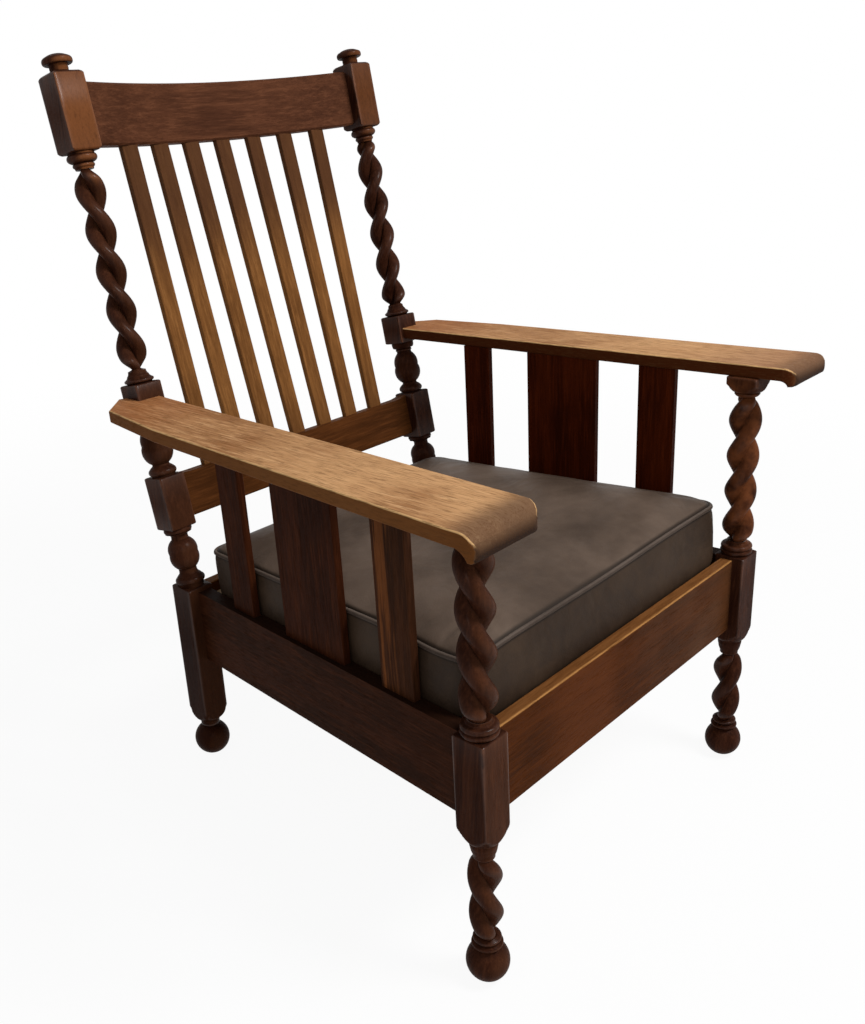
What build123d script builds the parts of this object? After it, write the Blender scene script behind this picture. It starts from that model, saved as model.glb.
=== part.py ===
# Oak armchair of the mission family: twist turned posts, slatted sides and back, loose seat cushion.
# All heights and depths are square to the frame, which leans back on the floor as one piece.
import math
import os

from build123d import *

os.makedirs("parts", exist_ok=True)

# Stance in degrees: the frame's lean, the back's rake and the rear legs' splay.
lean = 5.32
rake = 9.94
splay = 1.72

# Ball feet, worn flat where they stand.
ball_radius = 26.5
foot_wear = 1.0

# Posts.
front_post_x = 291.4
rear_post_x = 258.6
rear_foot_y = 574.4
bend_above_rail = 7.3
main_block = 43.7
rear_block = 41.6
block_edge = 1.5
capital_side = 43.0
capital_foot = 586.0
arm_tenon_radius = 10.0
arm_tenon_length = 9.0

# Seat rails.
rail_foot = 227.0
rail_top = 337.7
front_rail_face = -5.7
front_rail_thick = 18.3
side_rail_thick = 21.0
side_rail_front_set = 7.6
side_rail_rear_set = 2.5
rear_rail_set = 8.3
rail_edge = 2.0
rail_tenon_thick = 8.0
rail_tenon_high = 80.0
rail_tenon_length = 20.0
side_tenon_length = 12.0
tenon_root = 15.0

# Arms.
arm_top = 620.0
arm_thick = 17.5
arm_inner_x = 274.0
arm_inner_taper = 0.0495
arm_front = -96.0
arm_outer_front = 380.0
arm_outer_front_y = -60.0
arm_outer_bend = 348.0
arm_outer_bend_y = 460.0
arm_outer_rear = 329.0
arm_outer_rear_y = 590.0
arm_tail_x = 288.0
arm_tail_y = 631.0
arm_inner_rear_y = 605.0
arm_corner = 22.0
arm_edge = 4.0
nose_radius = 105.0
nose_lip_radius = 86.0
nose_lip_start = 74.0
nose_drop = 31.0
nose_roll = 30.0
nose_height_share = 0.5
nose_swell = 5.0
nose_crown = 6.5
nose_roll_back = 30.0
nose_under_sag = 2.0

# Side slats: front edge and width along the side, one row a slat from the front.
side_slats = [("front", 100.0, 56.0), ("wide", 224.5, 119.5), ("rear", 416.0, 48.0)]
side_slat_thick = 11.0
side_slat_inset = 7.7
slat_tenon_thick = 6.0
slat_tenon_length = 9.0
slat_shoulder = 5.0

# Back: heights run up the raked axis of the rear posts.
crest_foot = 608.0
crest_top = 688.0
crest_thick = 20.0
crest_bow = 36.0
crest_edge = 2.5
crest_tenon_high = 60.0
back_face = -5.0
lower_rail_foot = 95.5
lower_rail_top = 159.0
lower_rail_rise = 3.5
lower_rail_rise_run = 24.0
lower_tenon_high = 44.0
back_slat_count = 7
back_slat_pitch = 57.7
back_slat_wide = 25.0
back_slat_thick = 10.0
back_slat_low_set = 9.0
back_slat_high_set = 3.0
back_slat_edge = 0.8

# Drop-in seat and what carries it.
cleat_side = 20.0
cleat_end_gap = 18.0
seat_bar_wide = 45.0
seat_bar_thick = 18.0
seat_end_gap = 2.4
seat_side_gap = 11.5
seat_bar_tenon = 15.0
seat_bar_tenon_thick = 7.0
seat_bar_tenon_wide = 28.0
strap_wide = 50.0
strap_thick = 2.0
strap_end = 8.0
strap_pitch_across = 75.0
strap_pitch_along = 90.4
strap_count = 5
strap_gap = 0.3

# Cushion: its under side, seam and crown.
cushion_sink = 12.7
cushion_front_gap = 10.4
cushion_rear_gap = 23.0
cushion_front_side_gap = 20.0
cushion_rear_side_gap = 2.2
cushion_corner = 40.0
seam_front = 412.0
seam_fall = 1.6
cushion_bulge = 5.0
side_shares = [(0.0, -0.6), (0.2, 0.55), (0.5, 1.0), (0.8, 0.6)]
crown_rise = 23.0
crown_shares = [(0.0, 0.0), (0.2, 0.03), (0.45, 0.15), (0.7, 0.42), (0.88, 0.85), (0.97, 1.3), (1.0, 1.8)]
corner_cuts = 5
crown_inset = 95.0
piping_radius = 4.0
piping_proud = 1.5
piping_sides = 6

# Clearances.
fit = 0.15
end_room = 0.5
rest_gap = 0.3
overrun = 12.0

# Front post turnings: radius, height and bulge of the curve that leads to each point.
ankle_turning = [
    (10.0, 46.0, 0), (12.0, 49.5, 0), (18.0, 50.8, 0), (18.6, 54.0, 0.6), (15.0, 56.5, 0),
    (15.4, 58.8, 0), (15.4, 62.2, 2.0), (13.0, 64.0, 0), (8.0, 68.0, 0),
]
collar_turning = [
    (8.0, 172.0, 0), (12.5, 177.0, 0), (13.5, 180.0, -0.6), (16.0, 185.0, 1.0), (16.6, 199.0, 0.5),
    (15.4, 201.0, 0), (15.4, 206.0, 0),
]
front_shoulder = [(15.4, 201.0, 0), (21.5, 209.5, -2.2), (28.5, 219.0, 1.6), (31.6, 225.0, 0)]
seat_turning = [
    (18.0, 339.0, 0), (19.5, 342.8, 0), (20.0, 350.0, 2.4), (18.0, 357.2, 2.6), (15.5, 359.0, -0.6),
    (14.5, 362.0, 0), (8.0, 367.0, 0),
]
necking_turning = [
    (8.0, 562.0, 0), (13.0, 567.0, 0), (14.0, 572.5, -0.7), (14.0, 578.5, 2.0), (13.6, 579.5, 0),
    (20.6, 587.0, -2.6), (18.0, 590.0, 0),
]

# Rear leg turning, from its ball's middle along the leg.
rear_ankle_turning = [(10.0, 19.0, 0), (14.0, 25.0, -0.8), (15.5, 34.0, -0.4)]
rear_shoulder = [(14.0, 28.0, 0), (19.5, 40.0, -1.5), (26.0, 50.0, 1.4), (30.2, 57.0, 0)]

# Rear post turnings up the raked axis.
bend_turning = [
    (17.0, -6.0, 0), (19.0, 3.6, 0), (18.6, 13.0, 2.6), (15.5, 16.5, 0), (13.0, 22.5, -0.8),
    (13.0, 25.6, 0), (20.75, 48.0, 3.6), (12.4, 70.0, 3.8), (12.4, 71.5, 0), (19.0, 79.6, -3.0),
    (17.6, 80.6, 0), (19.5, 81.4, 0), (19.5, 87.0, 0.6), (17.0, 91.0, 0),
]
egg_turning = [
    (17.0, 160.0, 0), (17.0, 165.6, 0), (17.4, 175.4, 2.6), (14.0, 178.5, 0), (12.0, 182.0, -0.6),
    (20.0, 210.0, 5.4), (12.4, 233.0, 3.2), (12.4, 236.0, 0), (12.4, 240.0, 1.4), (17.4, 242.0, 0),
    (18.6, 250.5, 0.4), (17.0, 255.0, 0),
]
arm_block_turning = [
    (17.0, 293.0, 0), (18.0, 298.6, 0), (18.4, 303.6, 2.0), (15.0, 308.0, -0.6), (12.4, 314.5, -0.8),
    (12.2, 318.0, 0), (7.0, 323.0, 0),
]
crown_turning = [
    (7.0, 574.0, 0), (12.0, 579.0, 0), (12.6, 582.5, 0), (12.6, 588.0, 2.0), (17.4, 590.0, 0),
    (17.4, 599.0, 2.6), (17.4, 603.0, 0),
]
finial_turning = [
    (17.0, 690.0, 0), (17.0, 698.6, 0), (12.2, 703.0, -0.8), (12.0, 706.5, 0), (16.5, 708.4, -1.2),
    (19.6, 711.4, 0.9), (15.5, 717.6, 1.6), (3.0, 721.0, 0.6),
]

# Blocks of the rear posts: foot and top up the raked axis.
lower_back_block = (87.5, 164.5)
arm_block = (251.5, 297.0)
crest_block = (601.0, 698.0)
crest_block_edge = 3.5

# Twists: foot, top, height of a lobe seen square on, strand radius, strand spread and length of half a turn.
leg_twist = (62.0, 180.0, 97.0, 11.6, 8.8, 54.0)
arm_twist_left = (360.0, 570.0, 388.0, 12.4, 9.2, 51.5)
arm_twist_right = (360.0, 570.0, 385.0, 12.4, 9.2, 51.5)
back_twist_left = (316.0, 581.0, 343.0, 10.4, 9.7, 52.5)
back_twist_right = (316.0, 581.0, 331.0, 10.4, 9.7, 50.8)
twist_run = 15.0
twist_neck = 11.0
twist_root = 2.4
strand_angles = (-76.0, 0.0, 76.0)
steps_in_half_turn = 8
quarter_turn = 90.0
half_turn = 180.0
flat_curve = 1.0
deep_curve = 4.5
ankle_angle = 25.0
ball_cuts = 7
turning_sides = 16
nose_sides = 56
sight_front_left = 130.4
sight_front_right = 114.9
sight_back_left = 149.4
sight_back_right = 134.7

rail_middle = (rail_foot + rail_top) / 2
bend_height = rail_top + bend_above_rail
cushion_bottom = rail_top - cushion_sink
lower_middle = (lower_rail_foot + lower_rail_top) / 2
crest_middle = (crest_foot + crest_top) / 2
front_rail_middle_y = front_rail_face + front_rail_thick / 2
back_rail_middle = back_face + crest_thick / 2

lean_sine = math.sin(math.radians(lean))
lean_cosine = math.cos(math.radians(lean))
rake_sine = math.sin(math.radians(rake))
rake_cosine = math.cos(math.radians(rake))

# Heights that follow from the floor: both pairs of balls stand equally high above it.
ball_height = ball_radius - foot_wear
front_ball_z = ball_height / lean_cosine
rear_ball_z = (ball_height + rear_foot_y * lean_sine) / lean_cosine
splay_slope = math.tan(math.radians(splay))
bend_y = rear_foot_y - (bend_height - rear_ball_z) * splay_slope
arm_under = arm_top - arm_thick

# The rails run between the posts, the side rails converging to the rear.
rear_rail_face = rear_foot_y - (rail_middle - rear_ball_z) * splay_slope - rear_rail_set
rear_rail_middle_y = rear_rail_face + front_rail_thick / 2
side_rail_front_x = front_post_x + side_rail_front_set
side_rail_front_y = main_block / 2
side_rail_taper = (side_rail_front_x - rear_post_x - side_rail_rear_set) / (bend_y - side_rail_front_y)
seat_front = front_rail_face + front_rail_thick + seat_end_gap
seat_rear = rear_rail_face - seat_end_gap
cushion_front = front_rail_face + front_rail_thick + cushion_front_gap
cushion_rear = rear_rail_face - cushion_rear_gap

# The drop-in seat builds down from the cushion: straps woven over and under, bars, cleats.
weave = (strap_thick + strap_gap) / 2
strap_middle = cushion_bottom - rest_gap - strap_thick / 2 - weave
seat_bar_top = strap_middle - strap_thick / 2
seat_bar_foot = seat_bar_top - seat_bar_thick
cleat_top = seat_bar_foot - rest_gap
cleat_side_start = main_block / 2 + cleat_end_gap / 2
cleat_side_end = bend_y - rear_block / 2 - cleat_end_gap / 2
nose_middle_x = (arm_inner_x - arm_inner_taper * arm_outer_front_y + arm_outer_front) / 2
nose_middle_y = arm_front + nose_radius

# The frame is centred on the origin front to back, from arm nose to crest back.
crest_back = back_face + crest_bow + crest_thick
rearmost_y = bend_y + crest_top * rake_sine + crest_back * rake_cosine
rearmost_z = bend_height + crest_top * rake_cosine - crest_back * rake_sine
rearmost = rearmost_y * lean_cosine + rearmost_z * lean_sine
nose_centre_z = arm_top - nose_roll / 2
foremost = (arm_front + nose_roll / 2) * lean_cosine + nose_centre_z * lean_sine - nose_roll / 2
middle = (rearmost + foremost) / 2


def tilted(point, tilt):
    tilt_angle = math.radians(lean + tilt)
    return Plane(
        origin=chair.from_local_coords(Vector(*point)),
        x_dir=(1, 0, 0),
        z_dir=(0, math.sin(tilt_angle), math.cos(tilt_angle)),
    )


# Working planes: the frame's own, the rear legs' and the back's.
chair = Plane(origin=(0, -middle, 0), x_dir=(1, 0, 0), z_dir=(0, lean_sine, lean_cosine))
leg = tilted((0, rear_foot_y, rear_ball_z), -splay)
back = tilted((0, bend_y, bend_height), rake)


def level(base, x, y, z):
    return Plane(origin=base.from_local_coords(Vector(x, y, z)), x_dir=base.x_dir, z_dir=base.z_dir)


# The same plane turned about its own upright.
def spun(plane, degrees):
    angle = math.radians(degrees)
    x_dir = plane.x_dir * math.cos(angle) + plane.y_dir * math.sin(angle)
    return Plane(origin=plane.origin, x_dir=x_dir, z_dir=plane.z_dir)


def facing_front(base, x, y):
    origin = base.from_local_coords(Vector(x, y, 0))
    return Plane(origin=origin, x_dir=base.x_dir, z_dir=base.y_dir * -1)


def facing_side(base, x):
    return Plane(origin=base.from_local_coords(Vector(x, 0, 0)), x_dir=base.y_dir, z_dir=base.x_dir)


def rail_outer_x(y):
    return side_rail_front_x - side_rail_taper * (y - side_rail_front_y)


def rail_inner_x(y):
    return rail_outer_x(y) - side_rail_thick


def arm_inner_edge(y):
    return arm_inner_x - arm_inner_taper * y


# Points along an arc of the given bulge; a curve too flat to show is one straight cut.
def curve_points(start, end, bulge):
    if abs(bulge) < flat_curve:
        return [end]
    cuts = 3 if abs(bulge) < deep_curve else 4
    run = math.dist(start, end)
    away_x = (end[1] - start[1]) / run
    away_y = (start[0] - end[0]) / run
    radius = (run**2 / 4 + bulge**2) / (2 * bulge)
    points = []
    for cut in range(1, cuts):
        share = cut / cuts
        along = run * (share - 1 / 2)
        rise = math.copysign(math.sqrt(radius**2 - along**2), radius) - (radius - bulge)
        points.append(
            (
                start[0] + (end[0] - start[0]) * share + away_x * rise,
                start[1] + (end[1] - start[1]) * share + away_y * rise,
            )
        )
    return points + [end]


# The outline of a ball foot from its sole to its ankle, in straight cuts like the rest of the turning.
def ball_turning(centre):
    sole = math.degrees(math.acos(ball_height / ball_radius))
    span = half_turn - sole - ankle_angle
    rows = []
    for cut in range(ball_cuts + 1):
        angle = math.radians(sole + span * cut / ball_cuts)
        rows.append((ball_radius * math.sin(angle), centre - ball_radius * math.cos(angle), 0))
    return rows


# A solid through rings of points; cells that aren't flat are split along the diagonal named.
def skin(rings, split=0, closed=False):
    walls = []
    if closed:
        rings = rings + rings[0:1]
    else:
        walls += [Face(Wire.make_polygon(rings[0])), Face(Wire.make_polygon(rings[-1]))]
    for low, high in zip(rings, rings[1:]):
        for corner in range(len(low)):
            follower = corner - 1 if split < 0 else (corner + 1) % len(low)
            if split:
                walls.append(Face(Wire.make_polygon([low[corner], low[follower], high[corner]])))
                walls.append(Face(Wire.make_polygon([low[follower], high[follower], high[corner]])))
            else:
                walls.append(Face(Wire.make_polygon([low[corner], low[follower], high[follower], high[corner]])))
    return Solid(Shell(walls))


# Turns an outline about an upright axis of the given plane, in flats as many as the sides given.
def turned(base, x, y, outline, sides):
    spot = outline[0][0:2]
    rows = [spot]
    for radius, height, bulge in outline[1:]:
        rows += curve_points(spot, (radius, height), bulge)
        spot = (radius, height)
    rings = []
    for radius, height in rows:
        ring = []
        for side in range(sides):
            angle = math.tau * side / sides
            spoke = Vector(x + radius * math.cos(angle), y + radius * math.sin(angle), height)
            ring.append(base.from_local_coords(spoke))
        rings.append(ring)
    return skin(rings)


# A square or oblong pin drawn on a plane, or with room round it the hole that takes it.
def pin(plane, u, v, wide, high, length, mode=Mode.ADD):
    with BuildSketch(plane) as section:
        with Locations((u, v)):
            Rectangle(wide, high)
    extrude(section.sketch, amount=length, mode=mode)


# Two strands wound about one axis, drawn in where they run out at the necks.
def wind_strands(base, x, twist, sight, hand):
    foot, top, lobe, strand_radius, spread, half_lead = twist
    reach = strand_radius + spread
    hollow = math.sqrt((strand_radius + twist_root) ** 2 - spread**2) - twist_root
    section = [(0, -hollow)]
    for angle in strand_angles:
        turned = math.radians(angle)
        section.append((spread + strand_radius * math.cos(turned), strand_radius * math.sin(turned)))
    section += [(-u, -v) for u, v in section]
    levels = round((top - foot) / half_lead * steps_in_half_turn)
    rings = []
    for step in range(levels + 1):
        height = foot + (top - foot) * step / levels
        run_out = min(1, (height - foot) / twist_run, (top - height) / twist_run)
        swell = (twist_neck + (reach - twist_neck) * math.sin(run_out * math.pi / 2)) / reach
        turn_by = math.radians(sight + hand * half_turn * (height - lobe) / half_lead)
        ring = []
        for u, v in section:
            ring_x = x + swell * (u * math.cos(turn_by) - v * math.sin(turn_by))
            ring_y = swell * (u * math.sin(turn_by) + v * math.cos(turn_by))
            ring.append(base.from_local_coords(Vector(ring_x, ring_y, height)))
        rings.append(ring)
    # The shorter diagonals follow the strands.
    return skin(rings, hand)


# A square length of a post whose ends are turned away by the shoulders given.
def square_length(base, x, side, foot, top, shoulder):
    with BuildPart() as block:
        pin(level(base, x, 0, foot), 0, 0, side, side, top - foot)
        if shoulder:
            round_length = shoulder + [(shoulder[-1][0], top, 0)]
            add(turned(base, x, 0, round_length, turning_sides), mode=Mode.INTERSECT)
    return block.part


# Tenons of the rails, drawn from inside the rail into the post.
def front_rail_tenon(hand, length, room, mode):
    inner = hand * (front_post_x - main_block / 2 - tenon_root)
    pin(
        facing_side(chair, inner), front_rail_middle_y, rail_middle,
        rail_tenon_thick + 2 * room, rail_tenon_high + 2 * room, hand * (tenon_root + length), mode,
    )


def rear_rail_tenon(hand, length, room, mode):
    inner = hand * (rear_post_x - rear_block / 2 - tenon_root)
    pin(
        facing_side(chair, inner), rear_rail_middle_y, rail_middle,
        rail_tenon_thick + 2 * room, rail_tenon_high + 2 * room, hand * (tenon_root + length), mode,
    )


def side_rail_front_tenon(hand, length, room, mode):
    face_y = main_block / 2
    x = hand * (rail_outer_x(face_y) - side_rail_thick / 2)
    pin(
        facing_front(chair, 0, face_y + tenon_root), x, rail_middle,
        rail_tenon_thick + 2 * room, rail_tenon_high + 2 * room, tenon_root + length, mode,
    )


def side_rail_rear_tenon(hand, length, room, mode):
    face_y = bend_y - rear_block / 2
    x = hand * (rail_outer_x(face_y) - side_rail_thick / 2)
    pin(
        facing_front(chair, 0, face_y - tenon_root), x, rail_middle,
        rail_tenon_thick + 2 * room, rail_tenon_high + 2 * room, -tenon_root - length, mode,
    )


def back_rail_tenon(hand, height, high, block, extra, room, mode):
    inner = hand * (rear_post_x - block / 2 - tenon_root)
    pin(
        facing_side(back, inner), back_rail_middle, height,
        rail_tenon_thick + 2 * room, high + 2 * room, hand * (tenon_root + rail_tenon_length + extra), mode,
    )


# Cuts away what a square length of a post takes up, so that shoulders lie on its faces.
def fit_to_block(base, x, side, foot, top):
    pin(level(base, x, 0, foot), 0, 0, side, side, top - foot, Mode.SUBTRACT)


# Tenons of one side slat, upward and downward from the height given.
def side_slat_tenons(hand, slat_y, slat_wide, height, length, room, mode):
    middle_y = slat_y + slat_wide / 2
    slat_plane = side_slat_plane(hand, middle_y, height)
    wide = slat_wide - 2 * slat_shoulder
    with BuildSketch(slat_plane) as section:
        Rectangle(slat_tenon_thick + 2 * room, wide + 2 * room)
    extrude(section.sketch, amount=length, both=True, mode=mode)


# The plane across a side slat: it stands on the tapering line of the side rail.
def side_slat_plane(hand, y, height):
    taper = math.degrees(math.atan(side_rail_taper))
    x = hand * (rail_outer_x(y) - side_slat_inset - side_slat_thick / 2)
    return spun(level(chair, x, y, height), hand * taper)


# How far the crest's curve stands behind the straight line between the posts.
def bow_at(x):
    half = rear_post_x - main_block / 2
    curve = (half**2 + crest_bow**2) / (2 * crest_bow)
    return crest_bow - curve + math.sqrt(curve**2 - x**2)


# The side outline of a back slat of the given set and thickness between two heights.
def slat_outline(x, set_in, thick, wide, low, high, mode):
    low_face = back_face + back_slat_low_set + set_in
    high_face = back_face + back_slat_high_set + bow_at(x) + set_in
    slope = (high_face - low_face) / (crest_foot - lower_rail_top)
    low_end = low_face + slope * (low - lower_rail_top)
    high_end = high_face + slope * (high - crest_foot)
    with BuildSketch(facing_side(back, x)) as section:
        with BuildLine():
            Polyline((low_end, low), (low_end + thick, low), (high_end + thick, high), (high_end, high), close=True)
        make_face()
    extrude(section.sketch, amount=wide / 2, both=True, mode=mode)


def back_slat_tenon(x, length, room, mode):
    set_in = (back_slat_thick - slat_tenon_thick) / 2 - room
    thick = slat_tenon_thick + 2 * room
    wide = back_slat_wide - 2 * slat_shoulder + 2 * room
    slat_outline(x, set_in, thick, wide, lower_rail_top - length, crest_foot + length, mode)


def cleat_across_half(which):
    if which == "front":
        y = front_rail_face + front_rail_thick + cleat_side
    else:
        y = rear_rail_face
    return rail_inner_x(y) - cleat_end_gap - cleat_side / 2


def front_post(hand, arm_twist, sight):
    x = hand * front_post_x
    block_top = seat_turning[1][1] - block_edge / 2
    with BuildPart() as block:
        add(square_length(chair, x, main_block, front_shoulder[0][1], block_top, front_shoulder))
        chamfer(block.faces().sort_by(Axis(chair.origin, chair.z_dir))[-1].edges(), block_edge)
        # Mortises for the front rail and the side rail.
        front_rail_tenon(hand, rail_tenon_length + end_room, fit, Mode.SUBTRACT)
        side_rail_front_tenon(hand, side_tenon_length + end_room, fit, Mode.SUBTRACT)
    with BuildPart() as capital:
        pin(level(chair, x, 0, capital_foot), 0, 0, capital_side, capital_side, arm_under - capital_foot)
        with BuildSketch(level(chair, x, 0, arm_under)):
            Circle(arm_tenon_radius)
        extrude(amount=arm_tenon_length)
    ball_y = chair.from_local_coords(Vector(0, 0, front_ball_z)).Y
    lengths = [block.part, capital.part]
    lengths.append(turned(Plane.XY, x, ball_y, ball_turning(ball_height), turning_sides))
    for outline in (ankle_turning, collar_turning, seat_turning, necking_turning):
        lengths.append(turned(chair, x, 0, outline, turning_sides))
    for twist in (leg_twist, arm_twist):
        lengths.append(wind_strands(chair, x, twist, sight, hand))
    with BuildPart() as post:
        add(lengths)
    return post.part


def rear_post(hand, back_twist, sight):
    x = hand * rear_post_x
    leg_block_top = (bend_height - rear_ball_z) / math.cos(math.radians(splay))
    with BuildPart() as leg_block:
        add(square_length(leg, x, rear_block, rear_shoulder[0][1], leg_block_top, rear_shoulder))
        chamfer(leg_block.faces().sort_by(Axis(chair.origin, chair.z_dir))[-1].edges(), block_edge)
        # Mortises for the side rail and the rear rail.
        side_rail_rear_tenon(hand, side_tenon_length + end_room, fit, Mode.SUBTRACT)
        rear_rail_tenon(hand, rail_tenon_length + end_room, fit, Mode.SUBTRACT)
    with BuildPart() as low_block:
        add(eased_block(x, rear_block, lower_back_block, block_edge))
        back_rail_tenon(hand, lower_middle, lower_tenon_high, rear_block, end_room, fit, Mode.SUBTRACT)
    with BuildPart() as high_block:
        add(eased_block(x, main_block, crest_block, crest_block_edge))
        back_rail_tenon(hand, crest_middle, crest_tenon_high, main_block, end_room, fit, Mode.SUBTRACT)
    lengths = [leg_block.part, low_block.part, high_block.part, eased_block(x, rear_block, arm_block, block_edge)]
    lengths.append(turned(Plane.XY, x, leg.origin.Y, ball_turning(ball_height), turning_sides))
    lengths.append(turned(leg, x, 0, rear_ankle_turning, turning_sides))
    for outline in (bend_turning, egg_turning, arm_block_turning, crown_turning, finial_turning):
        lengths.append(turned(back, x, 0, outline, turning_sides))
    lengths.append(wind_strands(back, x, back_twist, sight, hand))
    with BuildPart() as post:
        add(lengths)
    return post.part


# A square length on the raked axis with all its end edges eased.
def eased_block(x, side, span, edge):
    with BuildPart() as block:
        pin(level(back, x, 0, span[0]), 0, 0, side, side, span[1] - span[0])
        ends = block.faces().sort_by(Axis(back.origin, back.z_dir))
        chamfer(ends[0].edges() + ends[-1].edges(), edge)
    return block.part


def save(solid, name):
    solid.label = name
    export_step(solid, "parts/" + name + ".step")


# Posts.
for label, hand, twist, sight in [
    ("left", -1, arm_twist_left, sight_front_left), ("right", 1, arm_twist_right, sight_front_right),
]:
    save(front_post(hand, twist, sight), "front_post_" + label)
for label, hand, twist, sight in [
    ("left", -1, back_twist_left, sight_back_left), ("right", 1, back_twist_right, sight_back_right),
]:
    save(rear_post(hand, twist, sight), "rear_post_" + label)


# Seat rails.
with BuildPart() as front_rail:
    half = front_post_x - main_block / 2
    pin(facing_side(chair, -half), front_rail_middle_y, rail_middle, front_rail_thick, rail_top - rail_foot, 2 * half)
    top_edges = front_rail.faces().sort_by(Axis(chair.origin, chair.z_dir))[-1].edges()
    fillet(top_edges.filter_by(Axis.X), rail_edge)
    front_rail_tenon(-1, rail_tenon_length, 0, Mode.ADD)
    front_rail_tenon(1, rail_tenon_length, 0, Mode.ADD)
save(front_rail.part, "front_rail")

with BuildPart() as rear_rail:
    half = rear_post_x - rear_block / 2
    pin(facing_side(chair, -half), rear_rail_middle_y, rail_middle, front_rail_thick, rail_top - rail_foot, 2 * half)
    top_edges = rear_rail.faces().sort_by(Axis(chair.origin, chair.z_dir))[-1].edges()
    fillet(top_edges.filter_by(Axis.X), rail_edge)
    rear_rail_tenon(-1, rail_tenon_length, 0, Mode.ADD)
    rear_rail_tenon(1, rail_tenon_length, 0, Mode.ADD)
save(rear_rail.part, "rear_rail")


def side_rail(hand):
    start = main_block / 2
    end = bend_y
    with BuildPart() as rail:
        with BuildSketch(level(chair, 0, 0, rail_foot)):
            with BuildLine():
                Polyline(
                    (hand * rail_outer_x(start), start), (hand * rail_outer_x(end), end),
                    (hand * rail_inner_x(end), end), (hand * rail_inner_x(start), start), close=True,
                )
            make_face()
        extrude(amount=rail_top - rail_foot)
        fit_to_block(leg, hand * rear_post_x, rear_block, rail_foot / 2, bend_height)
        side_rail_front_tenon(hand, side_tenon_length, 0, Mode.ADD)
        side_rail_rear_tenon(hand, side_tenon_length, 0, Mode.ADD)
        for part_name, slat_y, slat_wide in side_slats:
            side_slat_tenons(hand, slat_y, slat_wide, rail_top, slat_tenon_length + end_room, fit, Mode.SUBTRACT)
    return rail.part


save(side_rail(-1), "side_rail_left")
save(side_rail(1), "side_rail_right")


def side_slat(hand, slat_y, slat_wide):
    with BuildPart() as slat:
        with BuildSketch(side_slat_plane(hand, slat_y + slat_wide / 2, rail_top)) as section:
            Rectangle(side_slat_thick, slat_wide)
            chamfer(section.vertices(), back_slat_edge)
        extrude(amount=arm_under - rail_top)
        side_slat_tenons(hand, slat_y, slat_wide, rail_top, slat_tenon_length, 0, Mode.ADD)
        side_slat_tenons(hand, slat_y, slat_wide, arm_under, slat_tenon_length, 0, Mode.ADD)
    return slat.part


for part_name, slat_y, slat_wide in side_slats:
    save(side_slat(-1, slat_y, slat_wide), "side_slat_left_" + part_name)
    save(side_slat(1, slat_y, slat_wide), "side_slat_right_" + part_name)


# Arms: a flat board, a nose rolled over and under a shallow bow, and a notch for the rear post.
def arm(hand):
    with BuildPart() as board:
        with BuildSketch(level(chair, 0, 0, arm_under)):
            with BuildLine():
                Polyline(
                    (hand * arm_inner_edge(arm_outer_front_y), arm_outer_front_y),
                    (hand * arm_inner_edge(arm_inner_rear_y), arm_inner_rear_y),
                    (hand * arm_tail_x, arm_tail_y),
                    (hand * arm_outer_rear, arm_outer_rear_y),
                    (hand * arm_outer_bend, arm_outer_bend_y),
                    (hand * arm_outer_front, arm_outer_front_y), close=True,
                )
            make_face()
        extrude(amount=arm_thick)
        top_edges = board.faces().sort_by(Axis(chair.origin, chair.z_dir))[-1].edges()
        fillet([edge for edge in top_edges if edge.length > arm_outer_bend_y / 2], arm_edge)
        nose_under = arm_top - nose_drop
        nose_outline = [
            (nose_lip_start, arm_under, 0), (nose_lip_radius, nose_under, -nose_under_sag),
            (nose_radius, arm_top - nose_drop * nose_height_share, nose_swell),
            (nose_radius - nose_roll_back, arm_top, nose_crown),
        ]
        add(turned(chair, hand * nose_middle_x, nose_middle_y, nose_outline, nose_sides))
        # The plan outline trims the nose, with its two front corners rounded.
        with BuildSketch(level(chair, 0, 0, nose_under - overrun)) as plan:
            with BuildLine():
                Polyline(
                    (hand * arm_inner_edge(arm_front), arm_front),
                    (hand * arm_inner_edge(arm_inner_rear_y), arm_inner_rear_y),
                    (hand * arm_tail_x, arm_tail_y),
                    (hand * arm_outer_rear, arm_outer_rear_y),
                    (hand * arm_outer_bend, arm_outer_bend_y),
                    (hand * arm_outer_front, arm_outer_front_y),
                    (hand * arm_outer_front, arm_front), close=True,
                )
            make_face()
            fillet(plan.vertices().sort_by(Axis.Y)[0:2], arm_corner)
        extrude(amount=nose_drop + 2 * overrun, mode=Mode.INTERSECT)
        # Behind the lip nothing hangs below the board.
        with BuildSketch(level(chair, hand * nose_middle_x, nose_middle_y, arm_under)):
            with Locations((0, nose_radius / 2)):
                Rectangle(2 * nose_radius, nose_radius)
        extrude(amount=-nose_drop, mode=Mode.SUBTRACT)
        fit_to_block(back, hand * rear_post_x, rear_block, arm_block[0] - overrun, arm_block[1])
        with BuildSketch(level(chair, hand * front_post_x, 0, arm_under)):
            Circle(arm_tenon_radius + fit)
        extrude(amount=arm_tenon_length + end_room, mode=Mode.SUBTRACT)
        for part_name, slat_y, slat_wide in side_slats:
            side_slat_tenons(hand, slat_y, slat_wide, arm_under, slat_tenon_length + end_room, fit, Mode.SUBTRACT)
    return board.part


save(arm(-1), "arm_left")
save(arm(1), "arm_right")

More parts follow.
